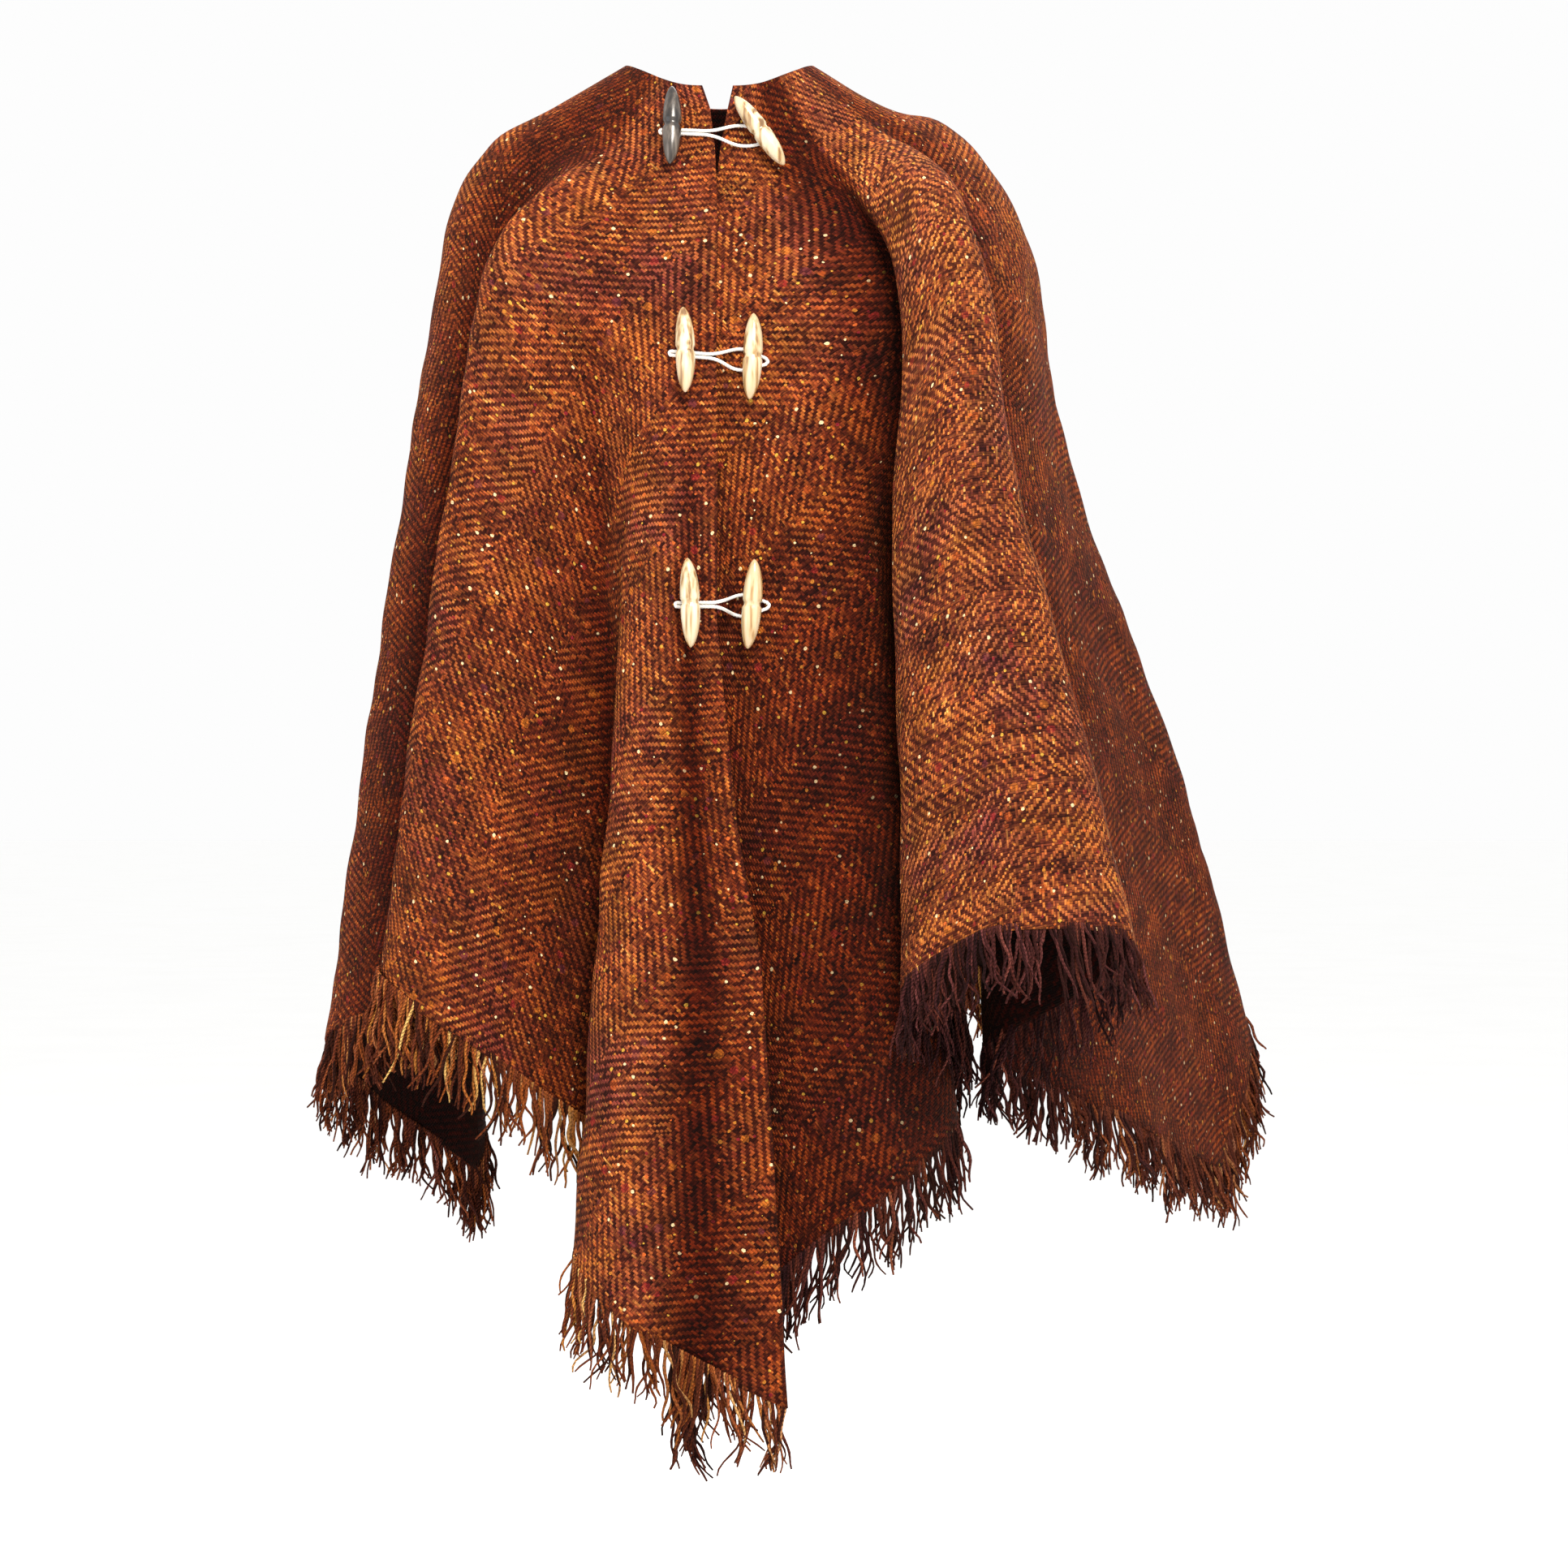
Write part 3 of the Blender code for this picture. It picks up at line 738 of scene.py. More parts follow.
@dataclass(frozen=True)
class PolishedHorn:
    """Polished horn: long streaks from point to point, darker towards the tips."""

    horn: Horn
    offset: float
    warmth: float
    streak_width: float = 4.2 * MM
    streak_length: float = 71.0 * MM
    relief: float = 0.15 * MM
    roughness: float = 0.28

    def build(self) -> Material:
        """Makes the material.

        Returns:
            The horn.
        """
        # Horn lets in a little light and is buffed: a soft depth under a clear highlight.
        material, tree, shader = new_material(f"{self.horn.value} horn")
        place = add_node(tree, "ShaderNodeTexCoord").outputs["Object"]
        scale = (1 / self.streak_width, 1 / self.streak_width, 1 / self.streak_length)
        links = {"Vector": place, "Location": (self.offset,) * 3, "Scale": scale}
        stretch = add_node(tree, "ShaderNodeMapping", links).outputs[0]
        streak = cloudy(tree, stretch, 1.0, 4.0)
        along = add_node(tree, "ShaderNodeAttribute", attribute_name="along").outputs["Fac"]
        tip = span(tree, compute(tree, "ABSOLUTE", along), 0.35, 1.0, 0.0, 0.6)
        if self.horn is Horn.PALE:
            stops = ((0.34, "6e5034"), (0.42, "ac8c60"), (0.5, "d2c19e"), (0.6, "ddd0b4"), (0.8, "e8dfcb"))
            tip_colour = linear("a87c44")
        else:
            stops = ((0.3, "120f0d"), (0.45, "2a2420"), (0.55, "443c35"), (0.68, "6c6258"), (0.85, "958a7d"))
            tip_colour = linear("1a1613")
        colour = ramp(tree, streak, stops)
        colour = blend(tree, self.warmth, colour, linear("c0955a"))
        # Darker towards the tips.
        tip_darkening = compute(tree, "MULTIPLY", tip, compute(tree, "ADD", streak, 0.2))
        colour = blend(tree, tip_darkening, colour, tip_colour)
        shader.inputs["Roughness"].default_value = self.roughness
        shader.inputs["Coat Weight"].default_value = 0.4
        shader.inputs["Coat Roughness"].default_value = 0.15
        shader.inputs["Subsurface Weight"].default_value = 0.15
        shader.inputs["Subsurface Radius"].default_value = (0.004, 0.003, 0.002)
        finish_shader(tree, shader, colour, streak, self.relief)
        return material


@dataclass(frozen=True)
class TwistedCord:
    """White cotton cord: its plies are in the mesh, and this adds the fibres' fine unevenness."""

    fibre: float = 0.7 * MM
    relief: float = 0.2 * MM
    roughness: float = 0.75

    def build(self) -> Material:
        """Makes the material.

        Returns:
            The cord's cotton.
        """
        # Cotton is bright and matt, and its fibres soften each ply's edge.
        material, tree, shader = new_material("white cord")
        place = add_node(tree, "ShaderNodeTexCoord").outputs["Object"]
        fibre = cloudy(tree, place, self.fibre, 3.0)
        colour = ramp(tree, fibre, ((0.3, "d9d4cb"), (0.5, "f1eee8"), (0.7, "fbfaf7")))
        shader.inputs["Roughness"].default_value = self.roughness
        shader.inputs["Sheen Weight"].default_value = 0.2
        finish_shader(tree, shader, colour, fibre, self.relief)
        return material


@dataclass(frozen=True)
class PaleFloor:
    """A matt pale floor, lit a little from within, with a hardly visible unevenness."""

    roughness: float = 0.9
    glow: float = 0.03
    patch: float = 330.0 * MM

    def build(self) -> Material:
        """Makes the material.

        Returns:
            The floor's paint.
        """
        # Matt paint has no highlight, so only soft light comes back from it.
        material, tree, shader = new_material("pale floor")
        place = add_node(tree, "ShaderNodeTexCoord").outputs["Object"]
        colour = ramp(tree, cloudy(tree, place, self.patch), ((0.3, "fafaf9"), (0.7, "fcfcfb")))
        shader.inputs["Roughness"].default_value = self.roughness
        shader.inputs["Emission Color"].default_value = linear("ffffff")
        shader.inputs["Emission Strength"].default_value = self.glow
        tree.links.new(colour, shader.inputs["Base Color"])
        return material


def ease(share: Array) -> Array:
    """A share from 0 to 1 that starts and stops gently.

    Args:
        share: any numbers.

    Returns:
        The eased shares, clipped to 0 and 1.
    """
    share = np.clip(share, 0, 1)
    return share * share * (3 - 2 * share)


def smooth_curve(knots: Array, values: Array, at: Array) -> Array:
    """Reads a smooth curve.

    It is a cubic through the knots whose slope at each one is the chord between its neighbours.

    Args:
        knots: where the curve is known, rising.
        values: what it is there.
        at: where it is read.

    Returns:
        The curve at those places.
    """
    slopes = np.gradient(values, knots)
    place = np.clip(np.searchsorted(knots, at, side="right") - 1, 0, len(knots) - 2)
    width = knots[place + 1] - knots[place]
    t = (at - knots[place]) / width
    square, cube = t * t, t * t * t
    return (
        values[place] * (2 * cube - 3 * square + 1)
        + slopes[place] * width * (cube - 2 * square + t)
        + values[place + 1] * (3 * square - 2 * cube)
        + slopes[place + 1] * width * (cube - square)
    )


def read_table(table: tuple, at: Array, smooth: bool = False) -> list[Array]:
    """Reads the columns of a table between its rows.

    Args:
        table: rows that start with a place and go on with the values there.
        at: the places where it is read.
        smooth: whether the values run in smooth curves rather than straight lines.

    Returns:
        An array for each column of values.
    """
    knots, *columns = np.array(table, dtype=float).T
    if smooth:
        return [smooth_curve(knots, column, at) for column in columns]
    return [np.interp(at, knots, column) for column in columns]


def rolling_mean(values: Array, width: int) -> Array:
    """The mean of each value and its neighbours.

    Args:
        values: a row of numbers, which goes on past its ends as it ends.
        width: how many are taken together, an odd number.

    Returns:
        As many means.
    """
    return np.convolve(np.pad(values, width // 2, mode="edge"), np.ones(width) / width, mode="valid")


def unit(vectors: Array) -> Array:
    """Vectors of length 1.

    Args:
        vectors: an array whose last axis is x, y and z.

    Returns:
        The same directions.
    """
    return vectors / np.maximum(np.linalg.norm(vectors, axis=-1, keepdims=True), 1e-12)


@dataclass(frozen=True)
class Drape:
    """How the cloth hangs: a flat angle and a radius along the cloth give a point in space.

    Seen from above, the cloth is a smooth ring that widens over the shoulders, with folds that grow on it
    from the upper place of each fold line to its lower one. Each line of one flat angle keeps its length:
    what it doesn't spread, it falls.
    """

    front_corner: float = 1.060
    right_corner: float = 1.075
    back_corner: float = 1.040
    left_corner: float = 1.005
    neck_radius: float = 0.080
    neck_dip_front: float = 0.026
    neck_dip_back: float = 0.018
    start_radius: float = 0.130
    upper_radius: float = 0.300
    lower_radius: float = 0.750
    bend: float = 0.10
    least_fall: float = 0.12
    slit_reach: float = 0.040
    wave: float = 1.6 * MM
    calm_neck: float = 0.12
    calm_reach: float = 0.05
    calm_fade: float = 0.06
    crease_onset: float = 0.2

    def hem(self, angle: Array) -> Array:
        """The cloth's edge.

        Args:
            angle: flat angles in degrees.

        Returns:
            The distance from the middle of the neck to the edge: a square's, a little bowed between its
            corners.
        """
        turn = np.radians(angle)
        lengthwise = np.where(np.cos(turn) > 0, self.front_corner, self.back_corner)
        sideways = np.where(np.sin(turn) > 0, self.right_corner, self.left_corner)
        (bow,) = read_table(HEM_BOWS, angle)
        reach = np.abs(np.cos(turn) / lengthwise) ** bow + np.abs(np.sin(turn) / sideways) ** bow
        return reach ** (-1 / bow)

    def ring(self, angle: Array, radius: Array) -> tuple[Array, Array]:
        """The unfolded cloth from above.

        Args:
            angle: flat angles in degrees.
            radius: radii along the cloth.

        Returns:
            x and y, on an ellipse in each quarter.
        """
        turn = np.radians(angle)
        left, right, front, back = read_table(RINGS, radius / MM, smooth=True)
        x = np.sin(turn) * np.where(np.sin(turn) > 0, right, left) * MM
        y = -np.cos(turn) * np.where(np.cos(turn) > 0, front, back) * MM
        return x, y

    def plan(self, angle: Array, radius: Array) -> tuple[Array, Array]:
        """The folded cloth from above.

        Args:
            angle: flat angles in degrees.
            radius: radii along the cloth.

        Returns:
            x and y: the ring, and how far each fold stands off it.
        """
        upper_x, upper_y, lower_x, lower_y = (MM * place for place in read_table(FOLDS, angle, smooth=True))
        base_x, base_y = self.ring(angle, radius)
        high_x, high_y = self.ring(angle, np.full_like(radius, self.upper_radius))
        low_x, low_y = self.ring(angle, np.full_like(radius, self.lower_radius))
        onset = ease((radius - self.start_radius) / (self.upper_radius - self.start_radius))
        share = (radius - self.upper_radius) / (self.lower_radius - self.upper_radius)
        growth = (share + np.sqrt(share * share + self.bend * self.bend)) / 2
        shift_left, shift_right, step = (MM * shift for shift in read_table(SLIT, radius / MM))
        near_left = np.exp(-((radius * np.radians(360 - angle) / self.slit_reach) ** 2))
        near_right = np.exp(-((radius * np.radians(angle) / self.slit_reach) ** 2))
        x = base_x + onset * (upper_x - high_x) + growth * (lower_x - low_x - upper_x + high_x)
        y = base_y + onset * (upper_y - high_y) + growth * (lower_y - low_y - upper_y + high_y)
        x = x + near_left * shift_left + near_right * shift_right
        return x, y + (near_right - near_left) * step / 2

    def points(self, angles: Array, radii: Array) -> Array:
        """Points of the middle of the cloth.

        Args:
            angles: a row of n flat angles.
            radii: a grid of m rows by n, which starts at the neck.

        Returns:
            A grid of m by n points.
        """
        x, y = self.plan(np.broadcast_to(angles, radii.shape), radii)
        along = np.diff(radii, axis=0)
        across = np.hypot(np.diff(x, axis=0), np.diff(y, axis=0))
        fall = np.sqrt(np.maximum(along**2 - across**2, (self.least_fall * along) ** 2))
        turn = np.radians(angles)
        neck = -np.cos(turn) ** 2 * np.where(np.cos(turn) > 0, self.neck_dip_front, self.neck_dip_back)
        z = neck - np.concatenate([np.zeros((1, len(angles))), np.cumsum(fall, axis=0)])
        return np.stack([x, y, z], axis=2)

    def unevenness(self, angles: Array, radii: Array) -> Array:
        """The cloth's slight waves and creases. The waves die out at the neck and beside the toggles.

        Args:
            angles: a row of n flat angles.
            radii: a grid of m rows by n.

        Returns:
            How far each point stands off the smooth drape: three crossing waves, less each crease's bell
            curve.
        """
        turn = np.radians(angles)
        across, down = radii * np.sin(turn), radii * np.cos(turn)
        waves = (
            np.sin(across * 47 + 2.1 * np.sin(down * 19))
            + 0.8 * np.sin(down * 61 + across * 23 + 1.3)
            + 0.5 * np.sin(across * 118 - down * 71 + np.sin(across * 31))
        )
        from_slit = radii * np.radians(np.minimum(angles, 360 - angles))
        beside_slit = (1 - ease((from_slit - self.calm_reach) / self.calm_fade)) * (radii < self.lower_radius)
        calm = ease((radii - self.neck_radius) / self.calm_neck) * (1 - beside_slit)
        stand = waves * self.wave * calm / 2
        for crease in CREASES:
            onset = ease((radii - crease.start * MM) / self.crease_onset)
            stand -= onset * crease.depth * MM * np.exp(-(((angles - crease.angle) / crease.width) ** 2))
        return stand

    def normals(self, points: Array) -> Array:
        """Directions out of the cloth.

        Args:
            points: a grid of points.

        Returns:
            A unit vector for each.
        """
        return unit(np.cross(np.gradient(points, axis=0), np.gradient(points, axis=1)))


def build_mesh(name: str, points: Array, faces: Array, material: Material) -> Piece:
    """Makes a smooth-shaded piece.

    Args:
        name: the piece's name.
        points: rows of x, y and z in metres.
        faces: rows of four point numbers.
        material: its material.

    Returns:
        The piece, riding on the object's body.
    """
    mesh = bpy.data.meshes.new(name)
    mesh.vertices.add(len(points))
    mesh.vertices.foreach_set("co", points.astype(np.float32).ravel())
    mesh.loops.add(faces.size)
    mesh.loops.foreach_set("vertex_index", faces.astype(np.int32).ravel())
    mesh.polygons.add(len(faces))
    mesh.polygons.foreach_set("loop_start", np.arange(0, faces.size, 4, dtype=np.int32))
    mesh.update(calc_edges=True)
    mesh.validate()
    mesh.shade_smooth()
    mesh.materials.append(material)
    piece = bpy.data.objects.new(name, mesh)
    bpy.context.collection.objects.link(piece)
    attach(piece, BODY)
    return piece


def add_map(piece: Piece, name: str, places: Array) -> None:
    """Gives a piece a map of flat places.

    Args:
        piece: the piece.
        name: the map's name.
        places: a pair of numbers for each point.
    """
    mesh = piece.data
    corners = np.empty(len(mesh.loops), dtype=np.int32)
    mesh.loops.foreach_get("vertex_index", corners)
    layer = mesh.uv_layers.new(name=name)
    layer.data.foreach_set("uv", places[corners].astype(np.float32).ravel())


def add_numbers(piece: Piece, name: str, numbers: Array) -> None:
    """Gives each point of a piece a number that its material reads.

    Args:
        piece: the piece.
        name: what the number is called.
        numbers: one for each point.
    """
    layer = piece.data.attributes.new(name, "FLOAT", "POINT")
    layer.data.foreach_set("value", numbers.astype(np.float32).ravel())


def grid_faces(rows: int, columns: int, closed: bool = False) -> Array:
    """Faces of a grid of points, row by row.

    Args:
        rows: how many rows.
        columns: how many points in each.
        closed: whether the last column meets the first.

    Returns:
        Rows of four point numbers.
    """
    starts = np.arange(columns if closed else columns - 1)
    ends = (starts + 1) % columns
    low = np.arange(rows - 1)[:, None] * columns
    corners = [low + starts, low + columns + starts, low + columns + ends, low + ends]
    return np.stack(corners, axis=2).reshape(-1, 4)


def rod_faces(rows: int, sides: int) -> Array:
    """Faces of a rod, with a fan of faces over each end.

    Args:
        rows: how many rings of points along it.
        sides: how many points in each, an even number.

    Returns:
        Rows of four point numbers.
    """
    starts = np.arange(1, sides - 2, 2)
    lid = np.stack([0 * starts, starts, starts + 1, starts + 2], axis=1)
    foot = (rows - 1) * sides
    return np.concatenate([grid_faces(rows, sides, closed=True), lid, foot + lid[:, ::-1]])


@dataclass
class Cloth:
    """The tweed square with its neck hole and front slit, as a thin wall."""

    drape: Drape
    rows: int = 122
    leg_steps: int = 7
    overhang: float = 2.0 * MM
    inner_shade: float = 0.05
    painted_shading_depth: float = 60.0 * MM
    painted_shading_least: float = 0.5
    painted_shading_most: float = 1.15
    painted_shading_legs: int = 3
    shading_start: float = 0.15
    shading_run: float = 0.5

    def angles(self) -> Array:
        """The flat angles of the columns.

        Returns:
            Every fold line, with the same steps between each two.
        """
        lines = np.array([fold.angle for fold in FOLDS])
        steps = np.arange((len(lines) - 1) * self.leg_steps + 1) / self.leg_steps
        return np.interp(steps, range(len(lines)), lines)

    def grid(self, angles: Array, extra: float = 0.0) -> tuple[Array, Array]:
        """The middle of the cloth.

        Args:
            angles: the columns' flat angles.
            extra: how far the grid runs past the hem.

        Returns:
            The points and their radii.
        """
        shares = np.linspace(0, 1, self.rows)[:, None] ** 1.15
        neck = self.drape.neck_radius
        radii = neck + shares * (self.drape.hem(angles) + extra - neck)
        points = self.drape.points(angles, radii)
        stand = self.drape.unevenness(angles, radii)[..., None]
        return points + self.drape.normals(points) * stand, radii

    def painted_shading(self, points: Array, angles: Array, radii: Array) -> Array:
        """Painted light and shade on the outer face: lighter on ridges and shoulders, darker in the folds.

        Args:
            points: the middle of the cloth.
            angles: the columns' flat angles.
            radii: the points' radii.

        Returns:
            A factor for each point: its zone's painted shading, more where it stands out of the local mean.
        """
        # Painted light and shade by shape: lighter where the cloth stands out, darker where it lies back.
        reach = self.leg_steps * self.painted_shading_legs
        padded = np.pad(points, ((0, 0), (reach, reach), (0, 0)), mode="edge")
        sums = np.cumsum(np.pad(padded, ((0, 0), (1, 0), (0, 0))), axis=1)
        mean = (sums[:, 2 * reach + 1 :] - sums[:, : -2 * reach - 1]) / (2 * reach + 1)
        stand = np.sum((points - mean) * self.drape.normals(points), axis=2)
        # Each zone's painted light and shade, blended from shoulder to hem.
        upper, lower = read_table(PAINTED_SHADING_ZONES, angles)
        tone = upper + (lower - upper) * ease((radii - self.shading_start) / self.shading_run)
        return np.clip(1 + stand / self.painted_shading_depth, self.painted_shading_least, self.painted_shading_most) * tone

    def build(self, material: Material) -> Piece:
        """Makes the cloth, and a map of its flat places along the threads.

        Args:
            material: the tweed.

        Returns:
            The cloth.
        """
        angles = self.angles()
        points, radii = self.grid(angles, self.overhang)
        half = self.drape.normals(points) * WALL / 2
        rows, columns = radii.shape
        count = rows * columns
        outer = grid_faces(rows, columns)
        column, row = np.arange(columns - 1), np.arange(rows - 1) * columns
        foot, last = count - columns, columns - 1
        rims = [
            [column, column + 1, count + column + 1, count + column],
            [foot + column + 1, foot + column, count + foot + column, count + foot + column + 1],
            [row + columns, row, count + row, count + row + columns],
            [row + last, row + columns + last, count + row + columns + last, count + row + last],
        ]
        faces = np.concatenate([outer, count + outer[:, ::-1]] + [np.stack(rim, axis=1) for rim in rims])
        walls = np.concatenate([(points + half).reshape(-1, 3), (points - half).reshape(-1, 3)])
        piece = build_mesh("cloth_look", walls, faces, material)
        turn = np.radians(angles)
        x, y = radii * np.sin(turn), -radii * np.cos(turn)
        flat = np.stack([(x + y).ravel(), (x - y).ravel()], axis=1) / math.sqrt(2)
        add_map(piece, "Flat", np.concatenate([flat, flat]))
        # The outer face's painted light and shade goes to its material as a number on each point.
        painted_shading = self.painted_shading(points, angles, radii)
        # The inner face is painted almost black: painted shade where the inside lies in shadow.
        add_numbers(piece, "painted_shading", np.concatenate([painted_shading.ravel(), np.full(count, self.inner_shade)]))
        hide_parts("cloth")
        return piece


@dataclass
class Fringe:
    """One edge's self fringe: plied yarns that hang from the hem in loose tufts."""

    drape: Drape
    name: str
    first: float
    last: float
    seed: int
    yarns: int = 850
    thickness: float = 2.4 * MM
    length: float = 52 * MM
    root: float = 3 * MM
    tuft: float = 13 * MM
    sides: int = 6
    steps: int = 14

    def roots(self, chance: np.random.Generator) -> tuple[Array, Array, Array, Array]:
        """Where the yarns leave the hem.

        Args:
            chance: the source of the yarns' spacing.

        Returns:
            Each yarn's flat angle, its point on the hem, the way down the cloth there and the way out of
            it.
        """
        middle = (self.first + self.last) / 2
        ends = np.tan(np.radians(np.array([self.first, self.last]) - middle)) * 0.998
        spread = (np.arange(self.yarns) + chance.uniform(-0.45, 0.45, self.yarns)) / (self.yarns - 1)
        angles = middle + np.degrees(np.arctan(ends[0] + np.clip(spread, 0, 1) * (ends[1] - ends[0])))
        hem = self.drape.hem(angles)
        neck = self.drape.neck_radius
        shares = np.linspace(0, 1, 240)[:, None]
        radii = np.concatenate([neck + shares * (hem - self.root - neck), hem[None] + self.root])
        points = self.drape.points(angles, radii)
        down = unit(points[-1] - points[-2])
        beside = self.drape.points(angles + 0.2, radii)[-2] - self.drape.points(angles - 0.2, radii)[-2]
        return angles, points[-2], down, unit(np.cross(down, beside))

    def build(self, material: Material) -> Piece:
        """Makes the yarns.

        Each yarn's line runs down the cloth and ever more straight down. It leans towards its tuft's middle,
        and wavers and curls as a sum of two slow waves that grow towards its end.

        Args:
            material: the yarn.

        Returns:
            The edge's fringe.
        """
        chance = np.random.default_rng(self.seed)
        angles, start, down, out = self.roots(chance)
        side = unit(np.cross(out, down))
        count = len(angles)
        hem_length = np.concatenate([[0], np.cumsum(np.linalg.norm(np.diff(start, axis=0), axis=1))])
        shifted = hem_length + chance.uniform(-1, 1, count) * self.tuft * 0.2
        tuft = np.floor(shifted / self.tuft).astype(int)
        tuft_chance = chance.uniform(-1, 1, (tuft.max() + 2, 4))
        lean = tuft_chance[tuft]
        pull = (tuft + 0.5) * self.tuft - hem_length
        share = np.linspace(0, 1, self.steps)[None, :, None]
        length = self.length * (1 + 0.18 * lean[:, 0] + chance.uniform(-0.16, 0.1, count))[:, None, None]
        fall = 0.35 * share + 0.2
        run = unit(down[:, None] * (1 - fall) + np.array([0, 0, -1.0]) * fall)
        legs = np.cumsum(run[:, 1:] * length / (self.steps - 1), axis=1)
        reach = np.concatenate([np.zeros((count, 1, 3)), legs], axis=1)
        sway = (lean[:, 1] * 11 * MM + chance.normal(0, 5 * MM, count))[:, None, None] * share**1.5
        gather = 0.8 * pull[:, None, None] * ease(share * 1.8) * (1 - 0.6 * share)
        phase = chance.uniform(0, 2 * math.pi, (count, 4))[:, None, :]
        size = chance.uniform(0.8, 4.0, (count, 2))[:, None, :] * MM * share**0.8
        turns = chance.uniform(5, 13, (count, 1, 1)) * share
        waver_side = size[..., :1] * (np.sin(turns + phase[..., :1]) - np.sin(phase[..., :1]))
        waver_out = size[..., 1:] * (np.cos(turns + phase[..., :1]) - np.cos(phase[..., :1]))
        curl = chance.uniform(-1, 1, (count, 1, 1)) * 11 * MM * share**3
        lift = (chance.normal(0.4, 1.2, count) + lean[:, 2])[:, None, None] * 3.5 * MM * share
        path = start[:, None] + reach + side[:, None] * (sway + gather + waver_side + curl)
        path = path + out[:, None] * (waver_out + lift)
        ahead = unit(np.gradient(path, axis=1))
        over = unit(np.cross(ahead, side[:, None]))
        across = np.cross(over, ahead)
        spin = 2 * math.pi * np.arange(self.sides) / self.sides
        fullness = chance.uniform(0.8, 1.15, (count, 1, 1, 1))
        taper = (1 - 0.45 * share[..., None] ** 3) * fullness * self.thickness / 2
        taper = taper * (1 + 0.12 * np.sin(share[..., None] * 30 + phase[:, :, None, 2:3]))
        rim = over[:, :, None] * np.cos(spin)[:, None] + across[:, :, None] * np.sin(spin)[:, None]
        points = path[:, :, None] + rim * taper
        one = rod_faces(self.steps, self.sides)
        faces = (one[None] + (np.arange(count) * self.steps * self.sides)[:, None, None]).reshape(-1, 4)
        piece = build_mesh(f"{self.name}_look", points.reshape(-1, 3), faces, material)
        around = np.broadcast_to(np.arange(self.sides) / self.sides, (count, self.steps, self.sides))
        along = np.broadcast_to(share * length, (count, self.steps, self.sides))
        add_map(piece, "Yarn", np.stack([around.ravel(), along.ravel()], axis=1))
        # Each zone's brightness paints the shade the fringe hangs in; each yarn adds its own random
        # lightness.
        warmth, bright = read_table(YARN_ZONES, angles)
        warmth = warmth + 0.15 * lean[:, 3] + chance.normal(0, 0.16, count)
        bright = bright * (0.72 + chance.normal(0, 0.26, count))
        each = np.ones((1, self.steps * self.sides))
        add_numbers(piece, "warmth", np.clip(warmth, 0, 1)[:, None] * each)
        add_numbers(piece, "brightness_and_painted_shade", np.clip(bright, 0.05, 1)[:, None] * each)
        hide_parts(self.name)
        return piece


@dataclass
class FrontSeat:
    """The front of the cloth beside the slit, which finds where the closures lie."""

    drape: Drape
    surfaces: dict[str, Array] = field(default_factory=dict)
    nearest: int = 40
    band: float = 3.0 * MM
    end: float = 0.60
    rows: int = 420
    columns: int = 160

    def __post_init__(self) -> None:
        """Samples the two panels finely."""
        for side, (low, high) in {"right": (0.0, 22.0), "left": (336.0, 360.0)}.items():
            angles = np.linspace(low, high, self.columns)
            radii = np.linspace(self.drape.neck_radius, self.end, self.rows)[:, None] + 0 * angles
            self.surfaces[side] = self.drape.points(angles, radii).reshape(-1, 3)

    def spot(self, side: str, x: float, z: float) -> tuple[Array, Array]:
        """One place on a panel.

        Args:
            side: left or right.
            x: the place seen from the front, across.
            z: the place seen from the front, up.

        Returns:
            The point of the cloth's middle, and the direction out of it, from a plane through the nearest
            points.
        """
        surface = self.surfaces[side]
        away = (surface[:, 0] - x) ** 2 + (surface[:, 2] - z) ** 2
        near = surface[np.argpartition(away, self.nearest)[: self.nearest]]
        terms = np.column_stack([np.ones(len(near)), near[:, 0] - x, near[:, 2] - z])
        y, slope_x, slope_z = np.linalg.lstsq(terms, near[:, 1], rcond=None)[0]
        return np.array([x, y, z]), unit(np.array([slope_x, -1.0, slope_z]))

    def edge(self, side: str, z: float) -> float:
        """Where a panel's edge is.

        Args:
            side: left or right.
            z: the height.

        Returns:
            The edge's x.
        """
        surface = self.surfaces[side]
        level = surface[np.abs(surface[:, 2] - z) < self.band, 0]
        return float(level.max() if side == "left" else level.min())


@dataclass
class Toggle:
    """A horn spindle with two points and a slight groove where the cord ties it."""

    name: str
    middle: Array
    out: Array
    lean: float
    length: float = 65 * MM
    point: float = 0.15 * MM
    bow: float = 0.8 * MM
    fullness: float = 2.5
    taper: float = 0.62
    groove_depth: float = 0.22
    groove_width: float = 0.05
    flatness: float = 0.9
    rows: int = 56
    sides: int = 28

    def build(self, material: Material) -> Piece:
        """Makes the toggle.

        Its radius is full over the middle and falls to nothing at both points: the length's share to the
        power of the fullness, taken from 1 and raised to the taper. The groove is a narrow bell curve.

        Args:
            material: the horn.

        Returns:
            The toggle.
        """
        turn = math.radians(self.lean)
        length = np.array([math.sin(turn), 0.0, math.cos(turn)])
        length = unit(length - self.out * np.dot(length, self.out))
        across = np.cross(length, self.out)
        share = np.sin(np.linspace(-math.pi / 2, math.pi / 2, self.rows))
        groove = self.groove_depth * np.exp(-((share / self.groove_width) ** 2))
        radius = TOGGLE_RADIUS * (1 - np.abs(share) ** self.fullness) ** self.taper * (1 - groove)
        radius = np.maximum(radius, self.point)[:, None, None]
        bow = self.bow * (1 - share[:, None, None] ** 2)
        spin = 2 * math.pi * np.arange(self.sides) / self.sides
        rim = across * np.cos(spin)[:, None] + self.out * self.flatness * np.sin(spin)[:, None]
        line = self.middle + length * (share[:, None, None] * self.length / 2) + across * bow
        points = (line + rim[None] * radius).reshape(-1, 3)
        faces = rod_faces(self.rows, self.sides)
        piece = build_mesh(f"{self.name}_look", points, faces, material)
        add_numbers(piece, "along", np.repeat(share, self.sides))
        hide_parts(self.name)
        return piece


